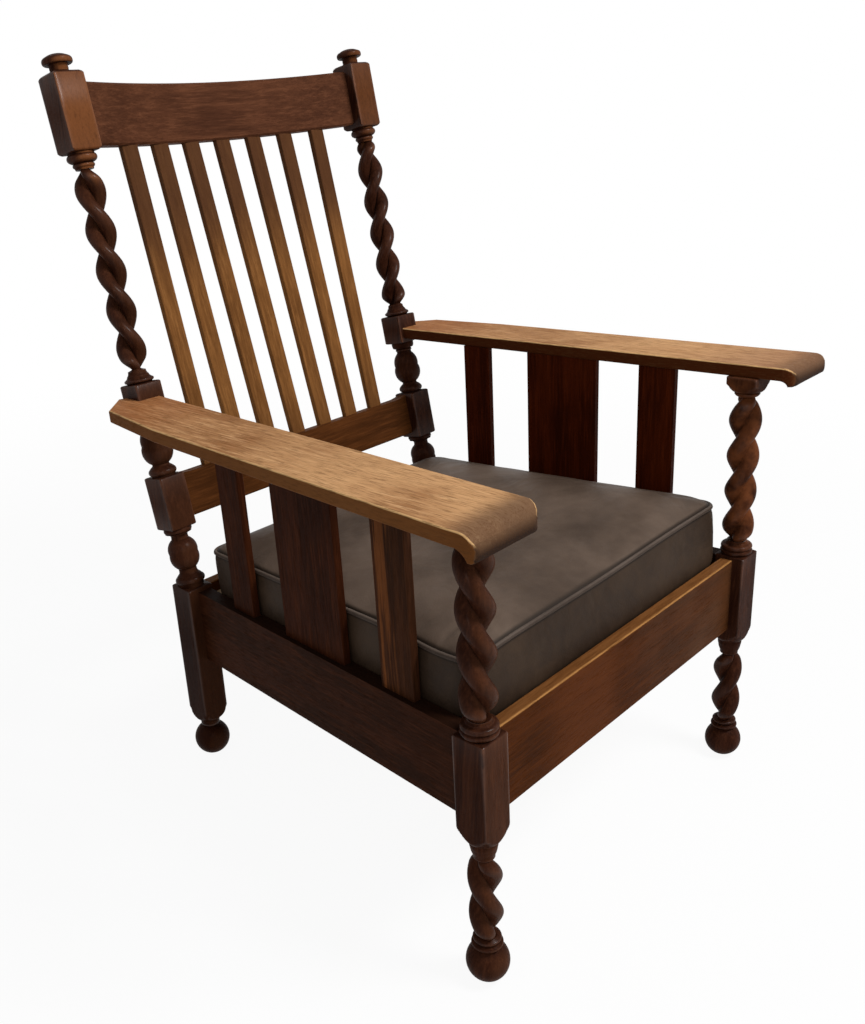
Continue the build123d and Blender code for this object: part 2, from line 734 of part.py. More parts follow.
# The lower back rail is straight and sweeps up at both ends.
with BuildPart() as lower_back_rail:
    half = rear_post_x - rear_block / 2
    with BuildSketch(facing_front(back, 0, back_face)):
        with BuildLine():
            sweep_up = lower_rail_top + lower_rail_rise
            level_end = half - lower_rail_rise_run
            Line((-half, lower_rail_foot), (half, lower_rail_foot))
            Line((half, lower_rail_foot), (half, sweep_up))
            SagittaArc((half, sweep_up), (level_end, lower_rail_top), lower_rail_rise / 4)
            Line((level_end, lower_rail_top), (-level_end, lower_rail_top))
            SagittaArc((-level_end, lower_rail_top), (-half, sweep_up), lower_rail_rise / 4)
            Line((-half, sweep_up), (-half, lower_rail_foot))
        make_face()
    extrude(amount=-crest_thick)
    foot_edges = lower_back_rail.faces().sort_by(Axis(back.origin, back.z_dir))[0].edges()
    fillet(foot_edges.filter_by(Axis.X), rail_edge)
    back_rail_tenon(-1, lower_middle, lower_tenon_high, rear_block, 0, 0, Mode.ADD)
    back_rail_tenon(1, lower_middle, lower_tenon_high, rear_block, 0, 0, Mode.ADD)
    for number in range(back_slat_count):
        x = back_slat_pitch * (number - (back_slat_count - 1) / 2)
        back_slat_tenon(x, slat_tenon_length + end_room, fit, Mode.SUBTRACT)
save(lower_back_rail.part, "lower_back_rail")

# The crest rail bows back between the posts.
with BuildPart() as crest_rail:
    half = rear_post_x - main_block / 2
    rear_face = back_face + crest_thick
    with BuildSketch(level(back, 0, 0, crest_foot)):
        with BuildLine():
            ThreePointArc((-half, back_face), (0, back_face + crest_bow), (half, back_face))
            Line((half, back_face), (half, rear_face))
            ThreePointArc((half, rear_face), (0, rear_face + crest_bow), (-half, rear_face))
            Line((-half, rear_face), (-half, back_face))
        make_face()
    extrude(amount=crest_top - crest_foot)
    upright = Axis(back.origin, back.z_dir)
    top_edges = crest_rail.faces().sort_by(upright)[-1].edges()
    foot_edges = crest_rail.faces().sort_by(upright)[0].edges()
    chamfer([edge for edge in top_edges + foot_edges if edge.length > half], crest_edge)
    back_rail_tenon(-1, crest_middle, crest_tenon_high, main_block, 0, 0, Mode.ADD)
    back_rail_tenon(1, crest_middle, crest_tenon_high, main_block, 0, 0, Mode.ADD)
    for number in range(back_slat_count):
        x = back_slat_pitch * (number - (back_slat_count - 1) / 2)
        back_slat_tenon(x, slat_tenon_length + end_room, fit, Mode.SUBTRACT)
save(crest_rail.part, "crest_rail")

# Back slats, numbered from the sitter's right.
for number in range(back_slat_count):
    x = back_slat_pitch * (number - (back_slat_count - 1) / 2)
    with BuildPart() as back_slat:
        slat_outline(x, 0, back_slat_thick, back_slat_wide, lower_rail_top, crest_foot, Mode.ADD)
        long_edges = [edge for edge in back_slat.edges() if edge.length > lower_rail_top]
        chamfer(long_edges, back_slat_edge)
        back_slat_tenon(x, slat_tenon_length, 0, Mode.ADD)
    save(back_slat.part, "back_slat_" + str(number + 1))


# Cleats screwed inside the seat rails.
def cleat(which):
    with BuildPart() as strip:
        with BuildSketch(level(chair, 0, 0, cleat_top)):
            with BuildLine():
                if which in ("front", "rear"):
                    half = cleat_across_half(which)
                    near = front_rail_face + front_rail_thick
                    if which == "rear":
                        near = rear_rail_face - cleat_side
                    far = near + cleat_side
                    Polyline((-half, near), (half, near), (half, far), (-half, far), close=True)
                else:
                    side = -1 if which == "left" else 1
                    start = cleat_side_start
                    end = cleat_side_end
                    start_x = rail_inner_x(start)
                    end_x = rail_inner_x(end)
                    Polyline(
                        (side * start_x, start), (side * end_x, end),
                        (side * (end_x - cleat_side), end), (side * (start_x - cleat_side), start), close=True,
                    )
            make_face()
        extrude(amount=-cleat_side)
    return strip.part


for which in ("front", "rear", "left", "right"):
    save(cleat(which), "cleat_" + which)


def seat_half(y):
    return rail_inner_x(y) - seat_side_gap


# One bar of the drop-in seat, between the depths and half widths given.
def seat_bar(side, start, end, inner):
    with BuildSketch(level(chair, 0, 0, seat_bar_foot)) as plan:
        with BuildLine():
            if side:
                Polyline(
                    (side * seat_half(start), start), (side * seat_half(end), end),
                    (side * (seat_half(end) - inner), end), (side * (seat_half(start) - inner), start), close=True,
                )
            else:
                Polyline(
                    (-seat_half(start), start), (seat_half(start), start),
                    (seat_half(end), end), (-seat_half(end), end), close=True,
                )
        make_face()
    extrude(plan.sketch, amount=seat_bar_thick)


def seat_bar_tenons(side, room, extra, mode):
    height = seat_bar_foot + seat_bar_thick / 2
    thick = seat_bar_tenon_thick + 2 * room
    wide = seat_bar_tenon_wide + 2 * room
    for end_y, way in ((seat_front + seat_bar_wide, 1), (seat_rear - seat_bar_wide, -1)):
        x = side * (seat_half(end_y) - seat_bar_wide / 2)
        root = end_y + way * seat_bar_tenon
        pin(facing_front(chair, 0, root), x, height, wide, thick, way * (2 * seat_bar_tenon + extra), mode)


with BuildPart() as seat_bar_front:
    seat_bar(0, seat_front, seat_front + seat_bar_wide, 0)
    seat_bar_tenons(-1, fit, end_room, Mode.SUBTRACT)
    seat_bar_tenons(1, fit, end_room, Mode.SUBTRACT)
save(seat_bar_front.part, "seat_bar_front")

with BuildPart() as seat_bar_rear:
    seat_bar(0, seat_rear - seat_bar_wide, seat_rear, 0)
    seat_bar_tenons(-1, fit, end_room, Mode.SUBTRACT)
    seat_bar_tenons(1, fit, end_room, Mode.SUBTRACT)
save(seat_bar_rear.part, "seat_bar_rear")

for label, side in (("left", -1), ("right", 1)):
    with BuildPart() as seat_bar_side:
        seat_bar(side, seat_front + seat_bar_wide, seat_rear - seat_bar_wide, seat_bar_wide)
        seat_bar_tenons(side, 0, 0, Mode.ADD)
    save(seat_bar_side.part, "seat_bar_" + label)


# One strap seen from its side: flat on the bars, over and under the straps it crosses.
def strap_outline(start, first_edge, crossings, last_edge, end, first_way):
    line = [(start, strap_middle), (first_edge, strap_middle)]
    half = (strap_wide + strap_end / 2) / 2
    way = first_way
    for crossing in crossings:
        line.append((crossing - half, strap_middle + way * weave))
        line.append((crossing + half, strap_middle + way * weave))
        way = -way
    line += [(last_edge, strap_middle), (end, strap_middle)]
    upper = [(along, height + strap_thick / 2) for along, height in line]
    lower = [(along, height - strap_thick / 2) for along, height in line]
    return upper + lower[::-1]


across_middles = [strap_pitch_across * (number - (strap_count - 1) / 2) for number in range(strap_count)]
seat_middle = (seat_front + seat_rear) / 2
along_middles = [seat_middle + strap_pitch_along * (number - (strap_count - 1) / 2) for number in range(strap_count)]

with BuildPart() as webbing_lengthwise:
    way = 1
    for x in across_middles:
        outline = strap_outline(
            seat_front + strap_end, seat_front + seat_bar_wide, along_middles,
            seat_rear - seat_bar_wide, seat_rear - strap_end, way,
        )
        with BuildSketch(facing_side(chair, x)):
            with BuildLine():
                Polyline(*outline, close=True)
            make_face()
        extrude(amount=strap_wide / 2, both=True)
        way = -way
save(webbing_lengthwise.part, "webbing_lengthwise")

with BuildPart() as webbing_crosswise:
    way = -1
    for y in along_middles:
        # The narrower edge of the strap says how far it reaches.
        reach = seat_half(y + strap_wide / 2)
        inner = reach - seat_bar_wide
        outline = strap_outline(strap_end - reach, -inner, across_middles, inner, reach - strap_end, way)
        with BuildSketch(facing_front(chair, 0, y)):
            with BuildLine():
                Polyline(*outline, close=True)
            make_face()
        extrude(amount=strap_wide / 2, both=True)
        way = -way
save(webbing_crosswise.part, "webbing_crosswise")

# Cushion: box sides that bulge between the seams, a domed top, and piping in a groove along the seam.
seam_plane = tilted((0, 0, seam_front), seam_fall)
cushion_front_half = rail_inner_x(cushion_front) - cushion_front_side_gap
cushion_rear_half = rail_inner_x(cushion_rear) - cushion_rear_side_gap
cushion_taper = (cushion_front_half - cushion_rear_half) / (cushion_rear - cushion_front)


# Points round the cushion, counted from the front right corner.
def cushion_points(inset):
    front = cushion_front + inset
    rear = cushion_rear - inset
    slant = math.degrees(math.atan(cushion_taper))
    points = []
    for y, start, end in ((front + cushion_corner, -quarter_turn, slant), (rear - cushion_corner, slant, quarter_turn)):
        x = cushion_front_half - inset - cushion_taper * (y - front) - cushion_corner * math.hypot(1, cushion_taper)
        for cut in range(corner_cuts + 1):
            angle = math.radians(start + (end - start) * cut / corner_cuts)
            points.append(Vector(x + cushion_corner * math.cos(angle), y + cushion_corner * math.sin(angle)))
    return points + [Vector(-point.X, point.Y) for point in points[::-1]]


def cushion_ring(plane, inset):
    return [plane.from_local_coords(point) for point in cushion_points(inset)]


# Rings of a cord of the given radius that follows the seam.
def cord_rings(radius):
    path = cushion_points(piping_radius - piping_proud)
    rings = []
    for number, point in enumerate(path):
        ahead = (path[(number + 1) % len(path)] - point).normalized()
        forward = (ahead + (point - path[number - 1]).normalized()).normalized()
        ring = []
        for side in range(piping_sides):
            angle = math.tau * side / piping_sides
            across = radius * math.cos(angle)
            spot = Vector(point.X + across * forward.Y, point.Y - across * forward.X, radius * math.sin(angle))
            ring.append(seam_plane.from_local_coords(spot))
        rings.append(ring)
    return rings


cushion_depth = seam_front - cushion_bottom
cushion_rings = []
for height_share, bulge_share in side_shares:
    side_plane = tilted((0, 0, cushion_bottom + cushion_depth * height_share), seam_fall * height_share)
    cushion_rings.append(cushion_ring(side_plane, -cushion_bulge * bulge_share))
for rise_share, inset_share in crown_shares:
    crown_plane = level(seam_plane, 0, 0, crown_rise * rise_share)
    cushion_rings.append(cushion_ring(crown_plane, crown_inset * inset_share))
with BuildPart() as seat_cushion:
    add(skin(cushion_rings, 1))
    # The groove that takes the piping.
    add(skin(cord_rings(piping_radius + rest_gap), 1, closed=True), mode=Mode.SUBTRACT)
save(seat_cushion.part, "seat_cushion")

with BuildPart() as cushion_piping:
    add(skin(cord_rings(piping_radius), 1, closed=True))
save(cushion_piping.part, "cushion_piping")
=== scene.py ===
import math

import bmesh
import bpy
from mathutils import Matrix, Vector


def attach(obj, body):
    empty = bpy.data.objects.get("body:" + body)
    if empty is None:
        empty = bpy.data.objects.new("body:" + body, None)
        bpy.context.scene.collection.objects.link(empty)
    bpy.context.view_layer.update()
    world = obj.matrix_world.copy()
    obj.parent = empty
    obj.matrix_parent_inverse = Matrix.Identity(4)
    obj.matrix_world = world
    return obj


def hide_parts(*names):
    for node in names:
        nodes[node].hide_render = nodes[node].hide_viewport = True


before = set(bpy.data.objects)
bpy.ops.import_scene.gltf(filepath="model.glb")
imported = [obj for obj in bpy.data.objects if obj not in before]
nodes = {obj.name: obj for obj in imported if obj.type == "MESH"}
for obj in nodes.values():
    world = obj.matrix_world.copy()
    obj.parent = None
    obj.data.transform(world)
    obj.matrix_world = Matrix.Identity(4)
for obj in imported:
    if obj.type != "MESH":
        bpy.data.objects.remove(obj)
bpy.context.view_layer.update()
mm = 0.001
hands = {"left": -1, "right": 1}

# how the chair stands: its own axes lean back on the floor, the back posts rake further
stance = {
    "lean": 5.32,
    "rake": 9.94,
    "splay": 1.72,
    "middle": 393.34,
    "rearFootY": 574.4,
    "ballHeight": 25.5,
    "bendHeight": 345.0,
    "railHalfFront": 299.0,
    "railFrontY": 21.85,
    "railTaper": 0.0696,
    "railThick": 21.0,
}
leanRadians = math.radians(stance["lean"])
backTilt = stance["lean"] + stance["rake"]


def leanBack(turn, y, z):
    return y * math.cos(turn) + z * math.sin(turn), z * math.cos(turn) - y * math.sin(turn)


def leanPoint(x, y, z):
    back, up = leanBack(leanRadians, y, z)
    return Vector((x, back - stance["middle"], up)) * mm


def basePoint(base, x, y, z):
    return base["origin"] + Vector((x, *leanBack(math.radians(base["tilt"]), y, z))) * mm


rearBallZ = (stance["ballHeight"] + stance["rearFootY"] * math.sin(leanRadians)) / math.cos(leanRadians)
bendY = stance["rearFootY"] - (stance["bendHeight"] - rearBallZ) * math.tan(math.radians(stance["splay"]))
chairBase = {"origin": leanPoint(0, 0, 0), "tilt": stance["lean"]}
legBase = {"origin": leanPoint(0, stance["rearFootY"], rearBallZ), "tilt": stance["lean"] - stance["splay"]}
backBase = {"origin": leanPoint(0, bendY, stance["bendHeight"]), "tilt": backTilt}


# a node tree: every node but the sums comes from its one method
class Board:
    def __init__(self, tree):
        self.tree = tree

    def node(self, kind, settings=None, sockets=None):
        made = self.tree.nodes.new("ShaderNode" + kind)
        for name, value in (settings or {}).items():
            setattr(made, name, value)
        for name, value in (sockets or {}).items():
            self.feed(value, made.inputs[name])
        return made

    def feed(self, value, socket):
        if isinstance(value, Flow):
            value = value.socket
        if isinstance(value, bpy.types.NodeSocket):
            self.tree.links.new(value, socket)
        elif socket.type == "RGBA":
            socket.default_value = (*value, 1.0)
        else:
            socket.default_value = value


# a socket that can be added, scaled and compared like a number
class Flow:
    def __init__(self, board, socket):
        self.board = board
        self.socket = socket

    def join(self, operation, *others):
        sums = self.board.node("Math", {"operation": operation}, dict(enumerate((self, *others))))
        return Flow(self.board, sums.outputs[0])

    def __add__(self, other):
        return self.join("ADD", other)

    __radd__ = __add__

    def __sub__(self, other):
        return self.join("SUBTRACT", other)

    def __rsub__(self, other):
        return self * -1 + other

    def __mul__(self, other):
        return self.join("MULTIPLY", other)

    __rmul__ = __mul__

    def __abs__(self):
        return self.join("ABSOLUTE")

    def __pow__(self, other):
        return self.join("POWER", other)

    def most(self, other):
        return self.join("MAXIMUM", other)

    def ramp(self, low, high):
        smooth = {"interpolation_type": "SMOOTHSTEP", "clamp": True}
        step = self.board.node("MapRange", smooth, {"Value": self, "From Min": low, "From Max": high})
        return Flow(self.board, step.outputs["Result"])


class Surface(Board):
    def __init__(self, name):
        self.material = bpy.data.materials.new(name)
        self.material.use_nodes = True
        super().__init__(self.material.node_tree)
        self.shader = self.tree.nodes["Principled BSDF"]
        self.coordinates = self.node("TexCoord").outputs["Object"]

    def turned(self, tilt, grow=(1, 1, 1), shift=(0, 0, 0)):
        turn = self.node("Mapping", None, {"Vector": self.coordinates, "Rotation": (math.radians(tilt), 0, 0)})
        sockets = {"Vector": turn.outputs[0], "Scale": grow, "Location": shift}
        return self.node("Mapping", None, sockets).outputs[0]

    def split(self, vector):
        return [Flow(self, output) for output in self.node("SeparateXYZ", None, {0: vector}).outputs]

    def axes(self, tilt):
        return self.split(self.turned(tilt))

    def chairAxes(self):
        x, y, z = self.axes(stance["lean"])
        ahead = stance["middle"] * mm
        return x, y + ahead * math.cos(leanRadians), z + ahead * math.sin(leanRadians)

    def facing(self):
        return self.split(self.node("NewGeometry").outputs["Normal"])

    def pointed(self):
        return Flow(self, self.node("NewGeometry").outputs["Pointiness"])

    def marked(self, name):
        return Flow(self, self.node("Attribute", {"attribute_name": name}).outputs["Fac"])

    def cloud(self, vector, scale=1.0, detail=4.0, rough=0.55, warp=0.0):
        sockets = {"Vector": vector, "Scale": scale, "Detail": detail, "Roughness": rough, "Distortion": warp}
        return Flow(self, self.node("TexNoise", None, sockets).outputs["Fac"])

    def cells(self, vector, scale):
        nearest = self.node("TexVoronoi", {"feature": "F1"}, {"Vector": vector, "Scale": scale})
        return Flow(self, nearest.outputs["Distance"])

    def mix(self, share, first, second):
        blended = self.node("Mix", {"data_type": "RGBA", "clamp_factor": True}, {0: share, 6: first, 7: second})
        return blended.outputs[2]

    def set(self, name, value):
        self.feed(value, self.shader.inputs[name])

    def bump(self, height, depth, strength=1.0):
        raised = self.node("Bump", None, {"Distance": depth, "Strength": strength, "Height": height})
        self.set("Normal", raised.outputs["Normal"])


# oak: its pores, figure and flecks are stretched along one axis of the piece
oakGrain = {
    "pores": (900.0, 45.0),
    "figure": (42.0, 3.0),
    "flecks": (260.0, 16.0),
    "patches": (9.0, 9.0, 9.0),
    "poreShade": 0.35,
    "shine": 0.015,
    "relief": 0.00025,
}


def stretched(along, wide, long):
    return tuple(long if axis == along else wide for axis in "xyz")


def oak(name, tones, tilt, along, pores=0.22, rough=0.42, flecks=0.3, seed=0.0, wearAndPaintedLight=None):
    face = Surface(name)
    dark, middle, light = tones
    poreRun, figureRun, fleckRun = (stretched(along, *oakGrain[part]) for part in ("pores", "figure", "flecks"))
    poreCloud = face.cloud(face.turned(tilt, poreRun, (seed, seed, seed)), detail=2.0, rough=0.6)
    figure = face.cloud(face.turned(tilt, figureRun, (seed, 0, seed)), detail=3.0, rough=0.5, warp=0.8)
    fleck = face.cloud(face.turned(tilt, fleckRun, (0, seed, 0)), detail=4.0, rough=0.65)
    patch = face.cloud(face.turned(tilt, oakGrain["patches"], (seed, seed, 0)), detail=2.0)
    tone = (figure * 0.9 + fleck * 0.8 + patch * 0.7).ramp(0.85, 1.55)
    colour = face.mix(tone, dark, middle)
    colour = face.mix(fleck.ramp(0.48, 0.72) * flecks, colour, light)
    if wearAndPaintedLight:
        colour = wearAndPaintedLight(face, colour, patch, fleck)
    poreMask = poreCloud.ramp(0.5, 0.36)
    colour = face.mix(poreMask * pores, colour, tuple(channel * oakGrain["poreShade"] for channel in dark))
    face.set("Base Color", colour)
    face.set("Roughness", poreMask * 0.2 + rough + fleck * 0.16)
    face.set("Specular IOR Level", oakGrain["shine"])
    face.bump(poreMask * -1.0 + fleck * 0.4, oakGrain["relief"], 0.5)
    return face.material


# the tones laid on each part: wear and old polish, with painted shade on the side rail tops and arm undersides, and
# painted highlight mixed into the rubbed ridges and arrises
wearAndPaintedLightTones = {
    "hollow": (0.008, 0.003, 0.002),
    "ridgeWearAndHighlight": (0.2, 0.07, 0.03),
    "rightTwist": (0.19, 0.06, 0.021),
    "rearFoot": (0.013, 0.0035, 0.0015),
    "postFront": (0.13, 0.05, 0.022),
    "headBlock": (0.26, 0.09, 0.028),
    "railTop": (0.19, 0.075, 0.023),
    "railArrisWearAndHighlight": (0.46, 0.22, 0.07),
    "railRed": (0.11, 0.03, 0.007),
    "railPale": (0.1, 0.047, 0.024),
    "sideRailTopShade": (0.012, 0.006, 0.004),
    "sideRailArris": (0.16, 0.07, 0.03),
    "slatHead": (0.062, 0.025, 0.013),
    "slatFoot": (0.1, 0.04, 0.014),
    "slatStreak": (0.2, 0.066, 0.02),
    "armBare": (0.64, 0.37, 0.175),
    "armRear": (0.38, 0.14, 0.05),
    "armRightFront": (0.26, 0.13, 0.08),
    "armNose": (0.095, 0.052, 0.033),
    "armUnderShade": (0.026, 0.014, 0.0095),
    "armSide": (0.13, 0.046, 0.012),
    "armRightSide": (0.06, 0.014, 0.004),
    "armEdgeWearAndHighlight": (0.74, 0.45, 0.2),
}
polish = {"weight": 0.35, "rough": 0.24}


# the places in these are in metres: x across, y back, z up
def rubbedAndHighlightedRidges(face, colour, patch, fleck):
    # the high places of the turning are rubbed redder and painted lighter as a highlight, and keep a polish, the
    # hollows are dark
    pointed = face.pointed()
    face.set("Coat Weight", pointed.ramp(0.512, 0.56) * polish["weight"])
    face.set("Coat Roughness", polish["rough"])
    rub = face.cloud(face.turned(0, (32.0, 32.0, 32.0)), detail=3.0)
    colour = face.mix(pointed.ramp(0.5, 0.42) * 0.8, colour, wearAndPaintedLightTones["hollow"])
    colour = face.mix(pointed.ramp(0.515, 0.6) * rub.ramp(0.35, 0.62) * 0.55, colour, wearAndPaintedLightTones["ridgeWearAndHighlight"])
    x, y, z = face.axes(0)
    rightFront = x.ramp(0.15, 0.25) * y.ramp(0, -0.1) * z.ramp(0.34, 0.38)
    colour = face.mix(rightFront * rub.ramp(0.3, 0.7) * 0.75, colour, wearAndPaintedLightTones["rightTwist"])
    colour = face.mix(y.ramp(0.05, 0.12) * z.ramp(0.34, 0.3) * 0.6, colour, wearAndPaintedLightTones["rearFoot"])
    frontward = (face.facing()[1] * -1.0).ramp(0.5, 0.95)
    colour = face.mix(frontward * x.ramp(0.1, 0) * 0.2, colour, wearAndPaintedLightTones["postFront"])
    head = z.ramp(0.83, 0.85) * frontward * (x.ramp(0.1, 0) * 0.25 + 0.3)
    return face.mix(head * fleck.ramp(0.05, 0.5), colour, wearAndPaintedLightTones["headBlock"])


def goldenTopAndArrisHighlight(face, colour, patch, fleck):
    # the upper edge is worn to golden wood, brightest along its arris, where the worn wood carries a painted highlight,
    # and one patch of the face is redder
    x, y, z = face.chairAxes()
    up = face.facing()[2].ramp(0.3, 0.9)
    arris = y.ramp(-0.002, -0.0045) * fleck.ramp(0.25, 0.5)
    colour = face.mix(up * (fleck.ramp(0.3, 0.6) * 0.4 + 0.55), colour, wearAndPaintedLightTones["railTop"])
    # the arris line: worn wood with a painted highlight on it
    colour = face.mix(up * arris * 0.8, colour, wearAndPaintedLightTones["railArrisWearAndHighlight"])
    red = x.ramp(-0.2, -0.12) * x.ramp(-0.01, -0.06) * (1 - up)
    colour = face.mix(red * 0.6, colour, wearAndPaintedLightTones["railRed"])
    pale = x.ramp(-0.02, 0.12) * (patch.ramp(0.35, 0.65) * 0.5 + 0.3) * (1 - up)
    return face.mix(pale * 0.6, colour, wearAndPaintedLightTones["railPale"])


def rubbedArrisShadedTop(face, colour, patch, fleck):
    x, y, z = face.chairAxes()
    # the top face is darkened with painted shade beside the cushion; the upper arris near the front is rubbed lighter
    colour = face.mix(face.facing()[2].ramp(0.3, 0.8) * 0.7, colour, wearAndPaintedLightTones["sideRailTopShade"])
    high = z.ramp(0.3405, 0.3435) * y.ramp(0.3, 0.02) * fleck.ramp(0.3, 0.55)
    return face.mix(high * 0.5, colour, wearAndPaintedLightTones["sideRailArris"])


def darkTops(face, colour, patch, fleck):
    x, y, z = face.chairAxes()
    colour = face.mix(z.ramp(0.72, 0.87) * 0.8, colour, wearAndPaintedLightTones["slatHead"])
    return face.mix(z.ramp(0.58, 0.46) * 0.5, colour, wearAndPaintedLightTones["slatFoot"])


def wornStrip(face, colour, patch, fleck):
    # bare streaks down the rear part of the slat
    x, y, z = face.chairAxes()
    streaks = face.cloud(face.turned(stance["lean"], (30.0, 190.0, 9.0)), detail=3.0).ramp(0.42, 0.62)
    return face.mix(y.ramp(0.112, 0.145) * streaks * 0.7, colour, wearAndPaintedLightTones["slatStreak"])


def wornArmShadeAndHighlight(face, colour, patch, fleck):
    # pale bare wood in the middle of the run, redder toward the back, dark at the rolled nose, painted shade on the
    # underside, golden edges of worn wood with a painted highlight
    x, y, z = face.chairAxes()
    acrossFace, alongFace, up = face.facing()
    sideways = abs(acrossFace).ramp(0.4, 0.75)
    rightArm = x.ramp(0, 0.01)
    colour = face.mix(y.ramp(0.5, 0.12) * patch.ramp(0.2, 0.6) * 0.6, colour, wearAndPaintedLightTones["armBare"])
    colour = face.mix(y.ramp(0.4, 0.58) * 0.6, colour, wearAndPaintedLightTones["armRear"])
    colour = face.mix(rightArm * y.ramp(0.12, -0.02) * 0.45, colour, wearAndPaintedLightTones["armRightFront"])
    nose = y.ramp(-0.024, -0.068)
    colour = face.mix(nose * (patch.ramp(0.25, 0.7) * 0.25 + 0.7), colour, wearAndPaintedLightTones["armNose"])
    # painted shade on the downward faces
    colour = face.mix(up.ramp(0.95, -0.15) * (1 - sideways), colour, wearAndPaintedLightTones["armUnderShade"])
    colour = face.mix(sideways * 0.95, colour, wearAndPaintedLightTones["armSide"])
    colour = face.mix(sideways * rightArm * 0.95, colour, wearAndPaintedLightTones["armRightSide"])
    # the golden edge line: worn wood with a painted highlight where the eased edge turns up
    edge = up.ramp(0.25, 0.6) * up.ramp(0.985, 0.9) * abs(acrossFace).ramp(0.1, 0.35)
    return face.mix(edge * fleck.ramp(0.2, 0.5) * 0.85, colour, wearAndPaintedLightTones["armEdgeWearAndHighlight"])


# each wood: its dark, middle and light tones, how its piece leans and which way the grain runs
woods = {
    "postOak": {
        "tones": ((0.018, 0.0055, 0.003), (0.048, 0.0155, 0.0075), (0.1, 0.036, 0.016)),
        "tilt": 0, "along": "z", "pores": 0.12, "rough": 0.3, "flecks": 0.2, "wearAndPaintedLight": rubbedAndHighlightedRidges,
    },
    "frontRailOak": {
        "tones": ((0.038, 0.01, 0.0013), (0.071, 0.018, 0.0026), (0.105, 0.03, 0.005)),
        "tilt": stance["lean"], "along": "x", "rough": 0.34, "wearAndPaintedLight": goldenTopAndArrisHighlight,
    },
    "sideRailOak": {
        "tones": ((0.02, 0.0065, 0.0026), (0.044, 0.0135, 0.0058), (0.075, 0.026, 0.0115)),
        "tilt": stance["lean"], "along": "y", "rough": 0.4, "wearAndPaintedLight": rubbedArrisShadedTop,
    },
    "crestOak": {
        "tones": ((0.056, 0.02, 0.01), (0.115, 0.042, 0.02), (0.17, 0.066, 0.032)),
        "tilt": backTilt, "along": "x",
    },
    "lowerRailOak": {
        "tones": ((0.055, 0.018, 0.005), (0.105, 0.034, 0.009), (0.155, 0.053, 0.016)),
        "tilt": backTilt, "along": "x",
    },
    "backSlatOak": {
        "tones": ((0.14, 0.055, 0.016), (0.25, 0.104, 0.03), (0.38, 0.175, 0.058)),
        "tilt": backTilt, "along": "z", "wearAndPaintedLight": darkTops,
    },
    "sideSlatOak": {
        "tones": ((0.021, 0.0057, 0.0022), (0.047, 0.0123, 0.0045), (0.09, 0.027, 0.01)),
        "tilt": stance["lean"], "along": "z", "rough": 0.38,
    },
    "redSlatOak": {
        "tones": ((0.028, 0.0045, 0.001), (0.068, 0.0105, 0.002), (0.12, 0.022, 0.005)),
        "tilt": stance["lean"], "along": "z", "rough": 0.38, "seed": 1.7,
    },
    "wornSlatOak": {
        "tones": ((0.024, 0.009, 0.004), (0.052, 0.018, 0.008), (0.09, 0.034, 0.014)),
        "tilt": stance["lean"], "along": "z", "rough": 0.38, "seed": 3.1, "wearAndPaintedLight": wornStrip,
    },
    "armOak": {
        "tones": ((0.27, 0.115, 0.043), (0.47, 0.235, 0.1), (0.68, 0.4, 0.2)),
        "tilt": stance["lean"], "along": "y", "pores": 0.5, "rough": 0.46, "flecks": 0.75, "wearAndPaintedLight": wornArmShadeAndHighlight,
    },
    "seatFrameWood": {
        "tones": ((0.4, 0.27, 0.16), (0.52, 0.38, 0.24), (0.6, 0.46, 0.3)),
        "tilt": stance["lean"], "along": "x", "rough": 0.6,
    },
}
oaks = {name: oak(name, **wood) for name, wood in woods.items()}
print("wood finishes ready")

# how the names of each wood's nodes start; the first wood that fits is used
dressed = {
    "postOak": ("front_post", "rear_post"),
    "frontRailOak": ("front_rail", "rear_rail"),
    "sideRailOak": "side_rail",
    "crestOak": "crest_rail",
    "lowerRailOak": "lower_back_rail",
    "backSlatOak": "back_slat",
    "wornSlatOak": "side_slat_left_front",
    "redSlatOak": "side_slat_right",
    "sideSlatOak": "side_slat",
    "armOak": "arm_",
    "seatFrameWood": ("cleat", "seat_bar"),
}
for node in nodes:
    wood = next((wood for wood, starts in dressed.items() if node.startswith(starts)), None)
    if wood:
        for slot in nodes[node].material_slots:
            slot.material = oaks[wood]


def place(mesh, material, node, body):
    piece = bpy.data.objects.new(mesh.name, mesh)
    bpy.context.scene.collection.objects.link(piece)
    mesh.materials.append(material)
    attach(piece, body)
    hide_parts(node)
    return piece


# one skin over a grid: its columns go round or across, its rows along
def skin(bm, columns, rows, shape, closed=True):
    made = bmesh.ops.create_grid(bm, x_segments=columns, y_segments=rows, size=1.0)
    for vert in made["verts"]:
        column = round((vert.co.x + 1) / 2 * columns)
        row = round((vert.co.y + 1) / 2 * rows)
        vert.co = shape(column % columns if closed else column, row)
    return made["verts"]


def finishMesh(bm, name, sharp=35.0, weld=1e-6):
    bmesh.ops.remove_doubles(bm, verts=bm.verts[:], dist=weld)
    bmesh.ops.recalc_face_normals(bm, faces=bm.faces[:])
    mesh = bpy.data.meshes.new(name)
    bm.to_mesh(mesh)
    bm.free()
    mesh.shade_smooth()
    mesh.set_sharp_from_angle(angle=math.radians(sharp))
    return mesh


# turned posts: every ring is a height and a reach in each direction
turning = {
    "quadrant": (0, 7, 15, 23, 30, 36, 40, 43, 45, 47, 50, 54, 60, 67, 75, 83),
    "curveSteps": 7,
    "flattest": 0.05,
    "twistStep": 2.4,
    "ballRadius": 26.5,
    "ballSteps": 24,
    "ballNeck": 28,
    "mainBlock": 43.7,
    "rearBlock": 41.6,
    "capital": 43.0,
    "squareness": 24,
    "arris": 1.6,
    "arrisShare": 0.4,
    "twistRun": 15.0,
    "twistNeck": 11.0,
    "strandBlend": 9.0,
}
directions = [math.radians(quarter * 90 + step) for quarter in range(4) for step in turning["quadrant"]]


